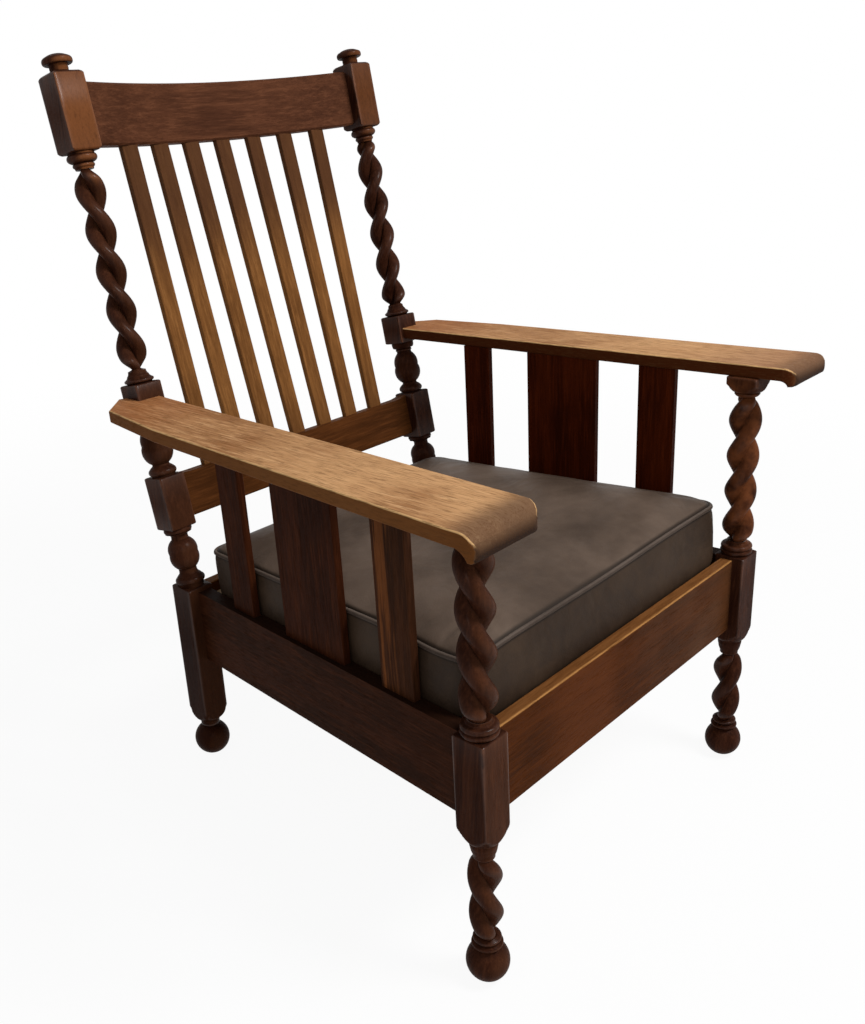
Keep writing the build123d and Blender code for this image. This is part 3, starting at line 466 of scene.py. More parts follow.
def roundRing(height, radius):
    return height, (lambda angle: radius)


def turned(outline):
    # each point has a radius, a height and how far the run to it bulges; the first only starts the run
    rings = []
    spot = outline[0][:2]
    for radius, height, bulge in outline[1:]:
        if abs(bulge) < turning["flattest"]:
            rings.append(roundRing(height, radius))
        else:
            run = math.dist(spot, (radius, height))
            awayX, awayY = (height - spot[1]) / run, (spot[0] - radius) / run
            bend = (run**2 / 4 + bulge**2) / (2 * bulge)
            for step in range(1, turning["curveSteps"] + 1):
                share = step / turning["curveSteps"]
                along = run * (share - 0.5)
                rise = math.copysign(math.sqrt(max(bend**2 - along**2, 0)), bend) - (bend - bulge)
                rings.append(
                    roundRing(
                        spot[1] + (height - spot[1]) * share + awayY * rise,
                        spot[0] + (radius - spot[0]) * share + awayX * rise,
                    )
                )
        spot = (radius, height)
    return rings


def ball(centre):
    rings = []
    radius = turning["ballRadius"]
    for step in range(turning["ballSteps"] + 1):
        angle = math.radians((180 - turning["ballNeck"]) * step / turning["ballSteps"])
        rings.append(roundRing(centre - radius * math.cos(angle), radius * math.sin(angle)))
    return rings


def squareReach(half, angle):
    power = turning["squareness"]
    return ((abs(math.cos(angle)) / half) ** power + (abs(math.sin(angle)) / half) ** power) ** (-1 / power)


def squareRing(height, half, cap=math.inf):
    return height, (lambda angle: min(squareReach(half, angle), cap))


def block(foot, top, side, edge, shoulder=None):
    half = side / 2
    ease = edge * turning["arrisShare"]
    rings = []
    if shoulder:
        for height, reach in turned(shoulder):
            rings.append(squareRing(height, half, reach(0)))
    else:
        rings += [squareRing(foot, half - edge), squareRing(foot + ease, half - ease), squareRing(foot + edge, half)]
    rings.append(squareRing((foot + top) / 2, half))
    rings += [squareRing(top - edge, half), squareRing(top - ease, half - ease), squareRing(top, half - edge)]
    return rings


def strandReach(angle, radius, spread, swell):
    across = math.sqrt(radius**2 - (spread * math.sin(angle)) ** 2)
    near = abs(spread * math.cos(angle) + across)
    far = abs(across - spread * math.cos(angle))
    power = turning["strandBlend"]
    return swell * (near**power + far**power) ** (1 / power)


def twist(foot, top, lobe, radius, spread, halfLead, sight, hand):
    rings = []
    count = round((top - foot) / turning["twistStep"])
    whole = radius + spread
    for step in range(count + 1):
        height = foot + (top - foot) * step / count
        runOut = min(1, (height - foot) / turning["twistRun"], (top - height) / turning["twistRun"])
        swell = (turning["twistNeck"] + (whole - turning["twistNeck"]) * math.sin(runOut * math.pi / 2)) / whole
        start = math.radians(sight + hand * 180 * (height - lobe) / halfLead)

        def reach(angle, start=start, swell=swell):
            return strandReach(angle - start, radius, spread, swell)

        rings.append((height, reach))
    return rings


def postSkin(bm, base, x, rings):
    def shape(column, row):
        height, reach = rings[row]
        angle = directions[column]
        return basePoint(base, x + reach(angle) * math.cos(angle), reach(angle) * math.sin(angle), height)

    for vert in skin(bm, len(directions), len(rings) - 1, shape):
        vert.co.z = max(vert.co.z, 0)  # worn flat on the floor


# a twist: its foot and top, a height where a strand faces the eye, strand radius and spread, half its lead
frontPost = {
    "x": 291.4,
    "tip": -2.0,
    "ankle": [
        (12.0, 48.0, 0), (12.0, 49.5, 0), (18.0, 50.8, 0), (18.6, 54.0, 0.8), (15.0, 56.0, 0.2), (15.2, 58.8, 0),
        (15.4, 62.2, 1.9), (12.0, 64.0, 0),
    ],
    "collar": [
        (12.0, 176.0, 0), (12.8, 179.0, 0), (13.6, 184.0, -0.3), (16.0, 193.0, 0.4), (16.8, 199.0, 0.3),
        (16.4, 201.0, 0),
    ],
    "shoulder": [(16.4, 201.0, 0), (19.5, 204.0, -0.5), (27.0, 215.5, 0.3), (30.2, 223.0, 0.8), (31.6, 231.0, 0.3)],
    "seatBlock": (231.0, 342.3),
    "seat": [
        (19.0, 342.4, 0), (19.5, 342.8, 0), (20.0, 350.0, 2.4), (18.0, 357.2, 2.6), (15.5, 359.0, -0.6),
        (13.5, 362.5, -0.5),
    ],
    "necking": [
        (12.0, 572.0, 0), (12.8, 574.0, 0), (15.6, 575.6, 0.5), (15.6, 579.6, 1.2), (14.6, 580.6, 0),
        (20.4, 581.6, 0),
    ],
    "legTwist": (63.0, 179.0, 97.0, 11.6, 8.8, 54.0),
    "twistLeft": (361.0, 575.0, 388.0, 12.4, 9.2, 51.5),
    "twistRight": (361.0, 575.0, 385.0, 12.4, 9.2, 51.5),
    "sightLeft": 130.4,
    "sightRight": 114.9,
    "capital": [(20.4, 581.6, 0), (25.4, 588.0, 0.4), (30.6, 594.2, 0.4)],
    "capitalBlock": (594.2, 602.5),
    "capitalArris": 1.0,
}
for side, hand in hands.items():
    bm = bmesh.new()
    sight = frontPost["sight" + side.title()]
    rings = [roundRing(frontPost["tip"], 0.0)] + ball(stance["ballHeight"] / math.cos(leanRadians))
    rings += turned(frontPost["ankle"])
    rings += twist(*frontPost["legTwist"], sight, hand)
    rings += turned(frontPost["collar"])
    rings += block(*frontPost["seatBlock"], turning["mainBlock"], turning["arris"], frontPost["shoulder"])
    rings += turned(frontPost["seat"])
    rings += twist(*frontPost["twist" + side.title()], sight, hand)
    rings += turned(frontPost["necking"])
    rings += block(*frontPost["capitalBlock"], turning["capital"], frontPost["capitalArris"], frontPost["capital"])
    rings.append(roundRing(frontPost["capitalBlock"][1], 0.0))
    postSkin(bm, chairBase, hand * frontPost["x"], rings)
    place(finishMesh(bm, "frontPost" + side.title()), oaks["postOak"], "front_post_" + side, "frame")

rearPost = {
    "x": 258.6,
    "tip": -30.0,
    "ankle": [(11.0, 24.0, 0), (11.0, 24.0, 0), (14.0, 27.0, -0.8)],
    "shoulder": [(14.0, 28.0, 0), (19.5, 40.0, -1.5), (26.0, 50.0, 1.4), (30.2, 57.0, 0)],
    "shoulderTop": 57.0,
    "bendTip": -4.0,
    "bend": [
        (17.0, -3.0, 0), (17.0, -3.0, 0), (19.0, 3.6, 0), (18.6, 13.0, 2.6), (15.5, 16.5, 0.2), (13.0, 22.5, -0.8),
        (13.0, 25.6, 0), (20.75, 48.0, 3.6), (12.4, 70.0, 3.8), (12.4, 71.5, 0), (19.0, 79.6, -3.0), (17.6, 80.6, 0),
        (19.5, 81.4, 0), (19.5, 86.6, 0.8),
    ],
    "lowBlock": (87.5, 164.5),
    "egg": [
        (17.0, 164.6, 0), (17.0, 165.0, 0), (17.0, 166.2, 0), (17.4, 175.4, 2.6), (14.0, 178.5, 0.2),
        (12.0, 182.0, -0.6), (20.0, 210.0, 5.4), (12.4, 233.0, 3.2), (12.4, 236.0, 0), (12.4, 240.0, 1.4),
        (17.4, 242.0, 0), (18.6, 250.5, 0.6),
    ],
    "armBlock": (251.5, 297.0),
    "arm": [
        (17.0, 297.2, 0), (17.0, 297.4, 0), (18.0, 298.6, 0), (18.4, 303.6, 2.2), (15.0, 308.0, -0.6),
        (12.4, 314.5, -0.8),
    ],
    "crown": [
        (12.0, 578.0, 0), (12.0, 580.0, 0), (12.6, 582.5, 0), (12.6, 588.0, 2.0), (17.4, 590.0, 0.3),
        (17.4, 599.0, 2.6), (17.4, 601.0, 0),
    ],
    "headBlock": (601.2, 698.0),
    "headArris": 3.6,
    "finial": [
        (16.0, 698.2, 0), (14.5, 698.6, 0), (12.2, 703.0, -1.2), (12.0, 706.5, 0), (16.5, 708.4, -1.0),
        (19.6, 711.4, 0.9), (15.5, 717.6, 1.6), (4.0, 721.0, 0.8), (0.0, 721.2, 0),
    ],
    "twistLeft": (317.0, 580.0, 343.0, 10.4, 9.7, 52.5),
    "twistRight": (317.0, 580.0, 331.0, 10.4, 9.7, 50.8),
    "sightLeft": 149.4,
    "sightRight": 134.7,
}
legTop = (stance["bendHeight"] - rearBallZ) / math.cos(math.radians(stance["splay"]))
for side, hand in hands.items():
    bm = bmesh.new()
    x = hand * rearPost["x"]
    rings = [roundRing(rearPost["tip"], 0.0)] + ball(0.0)
    rings += turned(rearPost["ankle"])
    rings += block(rearPost["shoulderTop"], legTop, turning["rearBlock"], turning["arris"], rearPost["shoulder"])
    rings.append(roundRing(legTop, 0.0))
    postSkin(bm, legBase, x, rings)
    rings = [roundRing(rearPost["bendTip"], 0.0)]
    rings += turned(rearPost["bend"])
    rings += block(*rearPost["lowBlock"], turning["rearBlock"], turning["arris"])
    rings += turned(rearPost["egg"])
    rings += block(*rearPost["armBlock"], turning["rearBlock"], turning["arris"])
    rings += turned(rearPost["arm"])
    rings += twist(*rearPost["twist" + side.title()], rearPost["sight" + side.title()], hand)
    rings += turned(rearPost["crown"])
    rings += block(*rearPost["headBlock"], turning["mainBlock"], rearPost["headArris"])
    rings += turned(rearPost["finial"])
    postSkin(bm, backBase, x, rings)
    place(finishMesh(bm, "rearPost" + side.title()), oaks["postOak"], "rear_post_" + side, "frame")
print("posts turned")

# arms: the side outline is drawn out sideways and trimmed to the plan, then its edges are eased
armBoard = {
    "top": 620.0,
    "thick": 17.5,
    "tail": 631.0,
    "spare": 8,
    "slab": (235.0, 150.0),
    "outer": 380.0,
    "middle": (310.0, 300.0),
    "noses": {
        "left": {"front": -77.0, "drop": 28.5, "run": 20.0, "round": 19.0, "setBack": 5.5, "coveRun": 14.0},
        "right": {"front": -68.0, "drop": 25.0, "run": 16.0, "round": 16.0, "setBack": 5.0, "coveRun": 10.0},
    },
    "noseSteps": 12,
    "lipSteps": 7,
    "coveSteps": 6,
    "lip": 4.5,
    "cove": 2.0,
    # each rounded corner of a nose: its radius and the headings of its cuts
    "innerCorner": (17.0, (18, 36, 54, 72)),
    "outerCorner": (8.3, (30, 60)),
    "ease": 2.6,
    "easeSteps": 4,
    "inner": (274.0, 0.0495),
    "plan": [(244.05, 605.0), (288.0, 631.0), (329.0, 590.0), (348.0, 460.0), (380.0, -45.0)],
    "notch": (258.6, 41.9, 240.0, 297.0),
}


def armOutline(nose):
    front, top, foot = nose["front"], armBoard["top"], armBoard["top"] - nose["drop"]
    points = [(armBoard["tail"] + armBoard["spare"], top)]
    for step in range(armBoard["noseSteps"] + 1):
        angle = math.radians(90 * step / armBoard["noseSteps"])
        points.append((front + nose["run"] * (1 - math.sin(angle)), top - nose["round"] * (1 - math.cos(angle))))
    for step in range(1, armBoard["lipSteps"] + 1):
        angle = math.radians(90 * step / armBoard["lipSteps"])
        fall = nose["round"] + (nose["drop"] - nose["round"]) * math.sin(angle)
        points.append((front + nose["setBack"] * (1 - math.cos(angle)), top - fall))
    lipRear = front + nose["setBack"] + armBoard["lip"]
    for step in range(armBoard["coveSteps"] + 1):
        share = step / armBoard["coveSteps"]
        rise = nose["drop"] - armBoard["thick"]
        bow = armBoard["cove"] * 4 * share * (1 - share)
        points.append((lipRear + nose["coveRun"] * share - bow * 0.55, foot + rise * share + bow * 0.8))
    return points + [(armBoard["tail"] + armBoard["spare"], top - armBoard["thick"])]


def trim(bm, spot, outward):
    everything = bm.verts[:] + bm.edges[:] + bm.faces[:]
    made = bmesh.ops.bisect_plane(bm, geom=everything, plane_co=spot, plane_no=outward, clear_outer=True)["geom_cut"]
    bmesh.ops.holes_fill(bm, edges=[edge for edge in made if isinstance(edge, bmesh.types.BMEdge)], sides=0)


def roundCorner(bm, hand, cornerX, front, inward, radius, headings):
    for heading in headings:
        aside, ahead = math.cos(math.radians(heading)), math.sin(math.radians(heading))
        centreX = cornerX + inward * radius
        spot = (hand * (centreX - inward * radius * aside), front + radius - radius * ahead, 0)
        trim(bm, spot, Vector((-hand * inward * aside, -ahead, 0)))


def isSide(face):
    return abs(face.normal.z) < 0.02 and abs(face.normal.x) > 0.3


def notchCutter(hand):
    notchX, notchSide, notchLow, notchHigh = armBoard["notch"]
    bm = bmesh.new()
    bmesh.ops.create_cube(bm, size=1.0)
    for vert in bm.verts:
        x, y, z = vert.co
        height = (notchLow + notchHigh) / 2 + z * (notchHigh - notchLow)
        vert.co = basePoint(backBase, hand * notchX + x * notchSide, y * notchSide, height)
    mesh = bpy.data.meshes.new("notch")
    bm.to_mesh(mesh)
    bm.free()
    cutter = bpy.data.objects.new("notch", mesh)
    bpy.context.scene.collection.objects.link(cutter)
    return cutter


def settle(piece):
    graph = bpy.context.evaluated_depsgraph_get()
    mesh = bpy.data.meshes.new_from_object(piece.evaluated_get(graph))
    piece.modifiers.clear()
    old = piece.data
    piece.data = mesh
    bpy.data.meshes.remove(old)


def buildArm(side, hand):
    nose = armBoard["noses"][side]
    slabStart, slabWide = armBoard["slab"]
    bm = bmesh.new()
    outline = bm.faces.new([bm.verts.new((hand * slabStart, y, z)) for y, z in armOutline(nose)])
    drawn = bmesh.ops.extrude_face_region(bm, geom=[outline])["geom"]
    drawnVerts = [item for item in drawn if isinstance(item, bmesh.types.BMVert)]
    bmesh.ops.translate(bm, verts=drawnVerts, vec=(hand * slabWide, 0, 0))
    inner, taper = armBoard["inner"]
    trim(bm, (hand * inner, 0, 0), Vector((-hand, -taper, 0)).normalized())
    trim(bm, (hand * armBoard["outer"], 0, 0), Vector((hand, 0, 0)))
    middleX, middleY = armBoard["middle"]
    for (startX, startY), (endX, endY) in zip(armBoard["plan"], armBoard["plan"][1:]):
        along = Vector((endX - startX, endY - startY, 0)).normalized()
        outward = Vector((-along.y, along.x, 0))
        if outward.dot(Vector((startX - middleX, startY - middleY, 0))) < 0:
            outward = -outward
        trim(bm, (hand * startX, startY, 0), Vector((hand * outward.x, outward.y, 0)))
    # the nose is rounded in plan as well, more on its inner corner
    front = nose["front"]
    roundCorner(bm, hand, inner - taper * front, front, 1, *armBoard["innerCorner"])
    roundCorner(bm, hand, armBoard["outer"], front, -1, *armBoard["outerCorner"])
    bmesh.ops.recalc_face_normals(bm, faces=bm.faces[:])
    rim = [edge for edge in bm.edges if len(edge.link_faces) == 2 and sum(map(isSide, edge.link_faces)) == 1]
    bmesh.ops.bevel(
        bm, geom=rim, offset=armBoard["ease"], affect="EDGES", segments=armBoard["easeSteps"],
        profile=0.5, material=-1, clamp_overlap=False,
    )
    for vert in bm.verts:
        vert.co = leanPoint(*vert.co)
    piece = place(finishMesh(bm, "arm" + side.title()), oaks["armOak"], "arm_" + side, "frame")
    cutter = notchCutter(hand)
    notch = piece.modifiers.new("notch", "BOOLEAN")
    notch.object = cutter
    notch.solver = "EXACT"
    weight = piece.modifiers.new("weight", "WEIGHTED_NORMAL")
    weight.keep_sharp = True
    settle(piece)
    bpy.data.objects.remove(cutter)


for side, hand in hands.items():
    buildArm(side, hand)
print("arms shaped")

# webbing of the drop-in seat, woven over and under
webbing = {
    "seatFront": 15.0,
    "seatRear": 557.6,
    "barWide": 45.0,
    "frontHalf": 267.0,
    "wide": 49.0,
    "thick": 1.5,
    "weave": 1.1,
    "slope": 1.6,
    "reach": 0.78,
    "height": 322.6,
    "end": 8.5,
    "acrossPitch": 75.0,
    "alongPitch": 90.4,
    "count": 5,
    "steps": 120,
    "strips": 4,
    "threads": 1900.0,
}


def strapHeight(along, first, last, crossings, way):
    height = webbing["height"]
    if along <= first or along >= last:
        return height
    near = min(range(len(crossings)), key=lambda index: abs(crossings[index] - along))
    lift = webbing["weave"] * (1 if (near % 2 == 0) == (way > 0) else -1)
    away = abs(crossings[near] - along) / (webbing["wide"] * webbing["reach"])
    return height + lift * max(0.0, min(1.0, webbing["slope"] * (1 - away)))


def weave(name, node, straps):
    bm = bmesh.new()
    for start, end, first, last, crossings, way, centre, lengthwise in straps:

        def shape(column, row):
            along = start + (end - start) * column / webbing["steps"]
            across = centre + webbing["wide"] * (row / webbing["strips"] - 0.5)
            height = strapHeight(along, first, last, crossings, way)
            return leanPoint(across, along, height) if lengthwise else leanPoint(along, across, height)

        skin(bm, webbing["steps"], webbing["strips"], shape, closed=False)
    bmesh.ops.solidify(bm, geom=bm.faces[:], thickness=webbing["thick"] * mm)
    for vert in bm.verts:
        vert.co += leanPoint(0, 0, webbing["thick"] / 2) - leanPoint(0, 0, 0)
    place(finishMesh(bm, name, weld=1e-7), jute(name), node, "drop_in_seat")


def jute(name):
    face = Surface(name + "Cloth")
    x, y, z = face.axes(stance["lean"])
    warp = (x * webbing["threads"]).join("SINE")
    weft = (y * webbing["threads"]).join("SINE")
    threads = (warp * weft) * 0.5 + 0.5
    patch = face.cloud(face.turned(0, (25.0, 25.0, 25.0)))
    face.set("Base Color", face.mix(threads * 0.6 + patch * 0.5, (0.24, 0.17, 0.09), (0.52, 0.42, 0.26)))
    face.set("Roughness", 0.9)
    face.bump(threads, 0.0005)
    return face.material


acrossMiddles = [webbing["acrossPitch"] * (number - 2) for number in range(webbing["count"])]
seatMiddle = (webbing["seatFront"] + webbing["seatRear"]) / 2
alongMiddles = [seatMiddle + webbing["alongPitch"] * (number - 2) for number in range(webbing["count"])]
straps = []
for number, x in enumerate(acrossMiddles):
    front, rear, way = webbing["seatFront"], webbing["seatRear"], 1 if number % 2 == 0 else -1
    ends = front + webbing["end"], rear - webbing["end"], front + webbing["barWide"], rear - webbing["barWide"]
    straps.append((*ends, alongMiddles, way, x, True))
weave("webbingLengthwise", "webbing_lengthwise", straps)
straps = []
for number, y in enumerate(alongMiddles):
    reach = webbing["frontHalf"] - stance["railTaper"] * (y + webbing["wide"] / 2 - webbing["seatFront"])
    way = -1 if number % 2 == 0 else 1
    ends = webbing["end"] - reach, reach - webbing["end"], webbing["barWide"] - reach, reach - webbing["barWide"]
    straps.append((*ends, acrossMiddles, way, y, False))
weave("webbingCrosswise", "webbing_crosswise", straps)
print("webbing woven")

# seat cushion: box sides, domed top, piping along the upper seam
cushion = {
    "front": 24.0,
    "rear": 537.0,
    "sideGap": 2.0,
    "corner": 20.0,
    "foot": 325.6,
    "seamFront": 412.0,
    "seamFall": 0.0279,
    # rows of the sides: height, reach at the sides and ends, corner radius
    "sides": [
        (0, -3, 4.5, 34), (4, -0.3, 8.5, 34), (12.7, 0.5, 9.4, 32), (26, 0.2, 8.0, 28), (48, 0.0, 5.4, 24),
        (70, 0.0, 2.4, 21), (82, -0.5, 0.0, 20),
    ],
    # rows of the crown: rise above the seam, distance in from it
    "crown": [(0, 1.5), (2.5, 3.0), (6, 6.5), (10.5, 14), (15, 30), (18.5, 62), (20.5, 100), (21.5, 150), (21.8, 200)],
    "cornerSteps": 10,
    "sideSteps": 40,
    "bottomInsets": (40, 120, 200),
    "voxel": 6.0,
    "pressure": 4.0,
    "tension": 12,
    "frames": 20,
    "cap": 7.0,
    "pipingRadius": 3.0,
    "pipingProud": 1.2,
    "pipingSides": 12,
    # the seam rises between two places across, and sags behind the left front corner
    "seamRise": (4.5, -60, 180),
    "seamSag": (5.0, 190, 250, 75, 48),
    "rightSwell": 6.0,
    "leftSink": 3.0,
    "fullIn": 55,
    # what the cloth keeps hold of: a band at the seam, strips at the sides and ends, and the foot
    "holdSeam": 6,
    "holdSide": 16,
    "holdEnd": 14,
    "holdFoot": 18,
    "foldClear": (3, 12),
    "foldCurve": 900,
    # each fold: its middle, heading, half length, width and depth
    "creases": [
        (-238, 48, 8, 26, 5, 1.7), (-236, 76, -6, 30, 5, 1.9), (-232, 112, -14, 34, 6, 1.3), (-205, 42, 62, 24, 6, 1.2),
        (-60, 250, 20, 110, 9, 0.9), (60, 170, -14, 100, 8, 0.8), (140, 85, 12, 85, 8, 0.8),
        (-140, 330, 58, 80, 9, 0.9),
        (205, 62, -28, 44, 7, 1.3), (226, 96, 66, 40, 6, 1.2), (10, 420, 6, 120, 10, 0.8), (205, 220, 82, 66, 8, 0.9),
        (-115, 120, -48, 70, 8, 0.9), (20, 60, 4, 90, 8, 0.7), (-20, 330, -30, 70, 8, 0.6), (110, 300, 40, 80, 8, 0.6),
    ],
}


def ease(value, start, end):
    share = max(0.0, min(1.0, (value - start) / (end - start)))
    return share * share * (3 - 2 * share)


def seamHeight(x, y):
    rise, riseStart, riseEnd = cushion["seamRise"]
    sag, sagStart, sagEnd, sagMiddle, sagSpread = cushion["seamSag"]
    lift = rise * ease(x, riseStart, riseEnd)
    dip = sag * ease(-x, sagStart, sagEnd) * math.exp(-(((y - sagMiddle) / sagSpread) ** 2))
    return cushion["seamFront"] - cushion["seamFall"] * y + lift - dip


def crownSwell(x, y):
    right = cushion["rightSwell"] * ease(x, 0, 220) * ease(y, 540, 220)
    return right - cushion["leftSink"] * ease(-x, 0, 200) * ease(y, 250, 470)


def chairPoint(point):
    local = point - leanPoint(0, 0, 0)
    across, along, high = local.x, local.y, local.z
    y = along * math.cos(leanRadians) - high * math.sin(leanRadians)
    z = along * math.sin(leanRadians) + high * math.cos(leanRadians)
    return across / mm, y / mm, z / mm


def railInner(y):
    return stance["railHalfFront"] - stance["railTaper"] * (y - stance["railFrontY"]) - stance["railThick"]


def cushionOutline(sideOut, endOut, corner):
    slope = stance["railTaper"]
    slant = math.degrees(math.atan(slope))
    frontMiddle = cushion["front"] - endOut + corner
    rearMiddle = cushion["rear"] + min(endOut, endOut / 2) - corner
    right = []
    for middleY, start, end in ((frontMiddle, -90, slant), (rearMiddle, slant, 90)):
        middleX = railInner(middleY) - cushion["sideGap"] + sideOut - corner * math.hypot(1, slope)
        for step in range(cushion["cornerSteps"] + 1):
            angle = math.radians(start + (end - start) * step / cushion["cornerSteps"])
            right.append((middleX + corner * math.cos(angle), middleY + corner * math.sin(angle)))
    points = right + [(-x, y) for x, y in right[::-1]]
    even = []
    for index, (x, y) in enumerate(points):
        nextX, nextY = points[(index + 1) % len(points)]
        parts = cushion["sideSteps"] if (index + 1) % (cushion["cornerSteps"] + 1) == 0 else 1
        for part in range(parts):
            share = part / parts
            even.append((x + (nextX - x) * share, y + (nextY - y) * share))
    return even


def cushionRows():
    foot = cushion["foot"]
    rows = []
    for inset in cushion["bottomInsets"][::-1]:
        rows.append([(x, y, foot) for x, y in cushionOutline(-inset, -inset, cushion["corner"])])
    depth = cushion["seamFront"] - foot
    for height, sideOut, endOut, corner in cushion["sides"]:
        outline = cushionOutline(sideOut, endOut, corner)
        rows.append([(x, y, foot + (seamHeight(x, y) - foot) * height / depth) for x, y in outline])
    for lift, inset in cushion["crown"]:
        outline = cushionOutline(-inset, -inset, cushion["corner"])
        full = ease(inset, 0, cushion["fullIn"])
        rows.append([(x, y, seamHeight(x, y) + lift + crownSwell(x, y) * full) for x, y in outline])
    return rows


def buildCushion():
    rows = cushionRows()
    bm = bmesh.new()
    skin(bm, len(rows[0]), len(rows) - 1, lambda column, row: leanPoint(*rows[row][column]))
    bmesh.ops.remove_doubles(bm, verts=bm.verts[:], dist=1e-5)
    bmesh.ops.holes_fill(bm, edges=[edge for edge in bm.edges if edge.is_boundary], sides=0)
    bmesh.ops.recalc_face_normals(bm, faces=bm.faces[:])
    mesh = bpy.data.meshes.new("seatCushion")
    bm.to_mesh(mesh)
    bm.free()
    piece = bpy.data.objects.new("seatCushion", mesh)
    bpy.context.scene.collection.objects.link(piece)
    remesh = piece.modifiers.new("remesh", "REMESH")
    remesh.mode = "VOXEL"
    remesh.voxel_size = cushion["voxel"] * mm
    settle(piece)
    puff(piece)
    smoothed = piece.modifiers.new("subdivision", "SUBSURF")
    smoothed.levels = 1
    smoothed.render_levels = 1
    settle(piece)
    crease(piece)
    piece.data.shade_smooth()
    return piece


def crease(piece):
    # soft folds pressed into the top, and each point's distance from the seam for the leather
    piece.vertex_groups.clear()
    seam = piece.data.attributes.new("seamGap", "FLOAT", "POINT")
    clear, whole = cushion["foldClear"]
    for vert, mark in zip(piece.data.vertices, seam.data):
        x, y, z = chairPoint(vert.co)
        above = z - seamHeight(x, y)
        mark.value = abs(above)
        if above < clear:
            continue
        depth = 0.0
        for foldX, foldY, heading, reach, width, deep in cushion["creases"]:
            turn = math.radians(heading)
            along = (x - foldX) * math.cos(turn) + (y - foldY) * math.sin(turn)
            aside = (y - foldY) * math.cos(turn) - (x - foldX) * math.sin(turn) + along * along / cushion["foldCurve"]
            depth += deep * math.exp(-((aside / width) ** 2) - (along / reach) ** 4)
        vert.co.z -= depth * ease(above, clear, whole) * mm


def puff(piece):
    rest = [vert.co.copy() for vert in piece.data.vertices]
    held = piece.vertex_groups.new(name="seam")
    for index, co in enumerate(rest):
        x, y, z = chairPoint(co)
        atSide = abs(x) > railInner(y) - cushion["holdSide"]
        atEnd = y < cushion["front"] + cushion["holdEnd"] or y > cushion["rear"] - cushion["holdEnd"]
        atSeam = abs(z - seamHeight(x, y)) < cushion["holdSeam"] and (atSide or atEnd)
        if atSeam or z < cushion["foot"] + cushion["holdFoot"]:
            held.add([index], 1.0, "REPLACE")
    cloth = piece.modifiers.new("cloth", "CLOTH")
    cloth.settings.use_pressure = True
    cloth.settings.uniform_pressure_force = cushion["pressure"]
    cloth.settings.vertex_group_mass = "seam"
    cloth.settings.effector_weights.gravity = 0
    cloth.settings.tension_stiffness = cushion["tension"]
    cloth.settings.quality = 4
    scene = bpy.context.scene
    cloth.point_cache.frame_start = 1
    cloth.point_cache.frame_end = cushion["frames"]
    for number in range(1, cushion["frames"] + 1):
        scene.frame_set(number)
    settle(piece)
    scene.frame_set(1)
    for vert, start in zip(piece.data.vertices, rest):
        move = vert.co - start
        if move.length > cushion["cap"] * mm:
            vert.co = start + move.normalized() * cushion["cap"] * mm


# each leather: its dark, middle and light tones, the light one painted on upward faces as light on the top, and whether
# painted shade darkens it along the seam
hides = {
    "cushionLeather": ((0.023, 0.0135, 0.0085), (0.05, 0.0305, 0.0185), (0.148, 0.105, 0.079), True),
    "pipingLeather": ((0.04, 0.027, 0.02), (0.07, 0.05, 0.039), (0.13, 0.098, 0.078), False),
    "seamShade": (0.014, 0.009, 0.006),
    "grain": 620.0,
    "wrinkles": (30.0, 30.0, 30.0),
    "folds": (9.0, 14.0, 9.0),
    "patches": (7.0, 7.0, 7.0),
    "shine": 0.08,
    "relief": 0.0006,
}


def leather(name):
    dark, middle, light, seamShaded = hides[name]
    face = Surface(name)
    grain = face.cells(face.turned(0), hides["grain"])
    wrinkles = face.cloud(face.turned(0, hides["wrinkles"]), detail=6.0, rough=0.65, warp=1.2)
    folds = face.cloud(face.turned(0, hides["folds"]), detail=2.0, rough=0.5, warp=1.6)
    patch = face.cloud(face.turned(0, hides["patches"]), detail=4.0, rough=0.6)
    paintedTopLight = face.facing()[2].ramp(0.55, 0.98)
    colour = face.mix((patch * 0.8 + wrinkles * 0.5).ramp(0.4, 0.95), dark, middle)
    # upward faces are painted lighter: painted light on the top, broken into patches
    colour = face.mix(paintedTopLight * (patch.ramp(0.3, 0.7) * 0.5 + 0.25), colour, light)
    # painted shade in the crevices along both sides of the piping
    if seamShaded:
        colour = face.mix(face.marked("seamGap").ramp(6.4, 3.4) * 0.85, colour, hides["seamShade"])
    face.set("Base Color", colour)
    face.set("Roughness", wrinkles * 0.25 + 0.4)
    face.set("Specular IOR Level", hides["shine"])
    face.bump(grain * 0.4 + wrinkles * 1.6 + folds * 9.0, hides["relief"], 0.6)
    return face.material


seatCushion = buildCushion()
seatCushion.data.materials.append(leather("cushionLeather"))
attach(seatCushion, "cushion")
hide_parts("seat_cushion")


def buildPiping():
    radius, sides = cushion["pipingRadius"], cushion["pipingSides"]
    setIn = radius - cushion["pipingProud"]
    run = [(x, y, seamHeight(x, y)) for x, y in cushionOutline(-setIn, -setIn, cushion["corner"])]
    count = len(run)
    bm = bmesh.new()

    def shape(column, row):
        x, y, z = run[column]
        nextX, nextY, nextZ = run[(column + 1) % count]
        lastX, lastY, lastZ = run[column - 1]
        forward = Vector((nextX - lastX, nextY - lastY, 0)).normalized()
        outward = Vector((forward.y, -forward.x, 0))
        angle = 2 * math.pi * row / sides
        offset = outward * math.cos(angle) * radius
        return leanPoint(x + offset.x, y + offset.y, z + math.sin(angle) * radius)

    skin(bm, count, sides, shape)
    mesh = finishMesh(bm, "cushionPiping", 60)
    place(mesh, leather("pipingLeather"), "cushion_piping", "cushion")


buildPiping()
print("cushion padded")

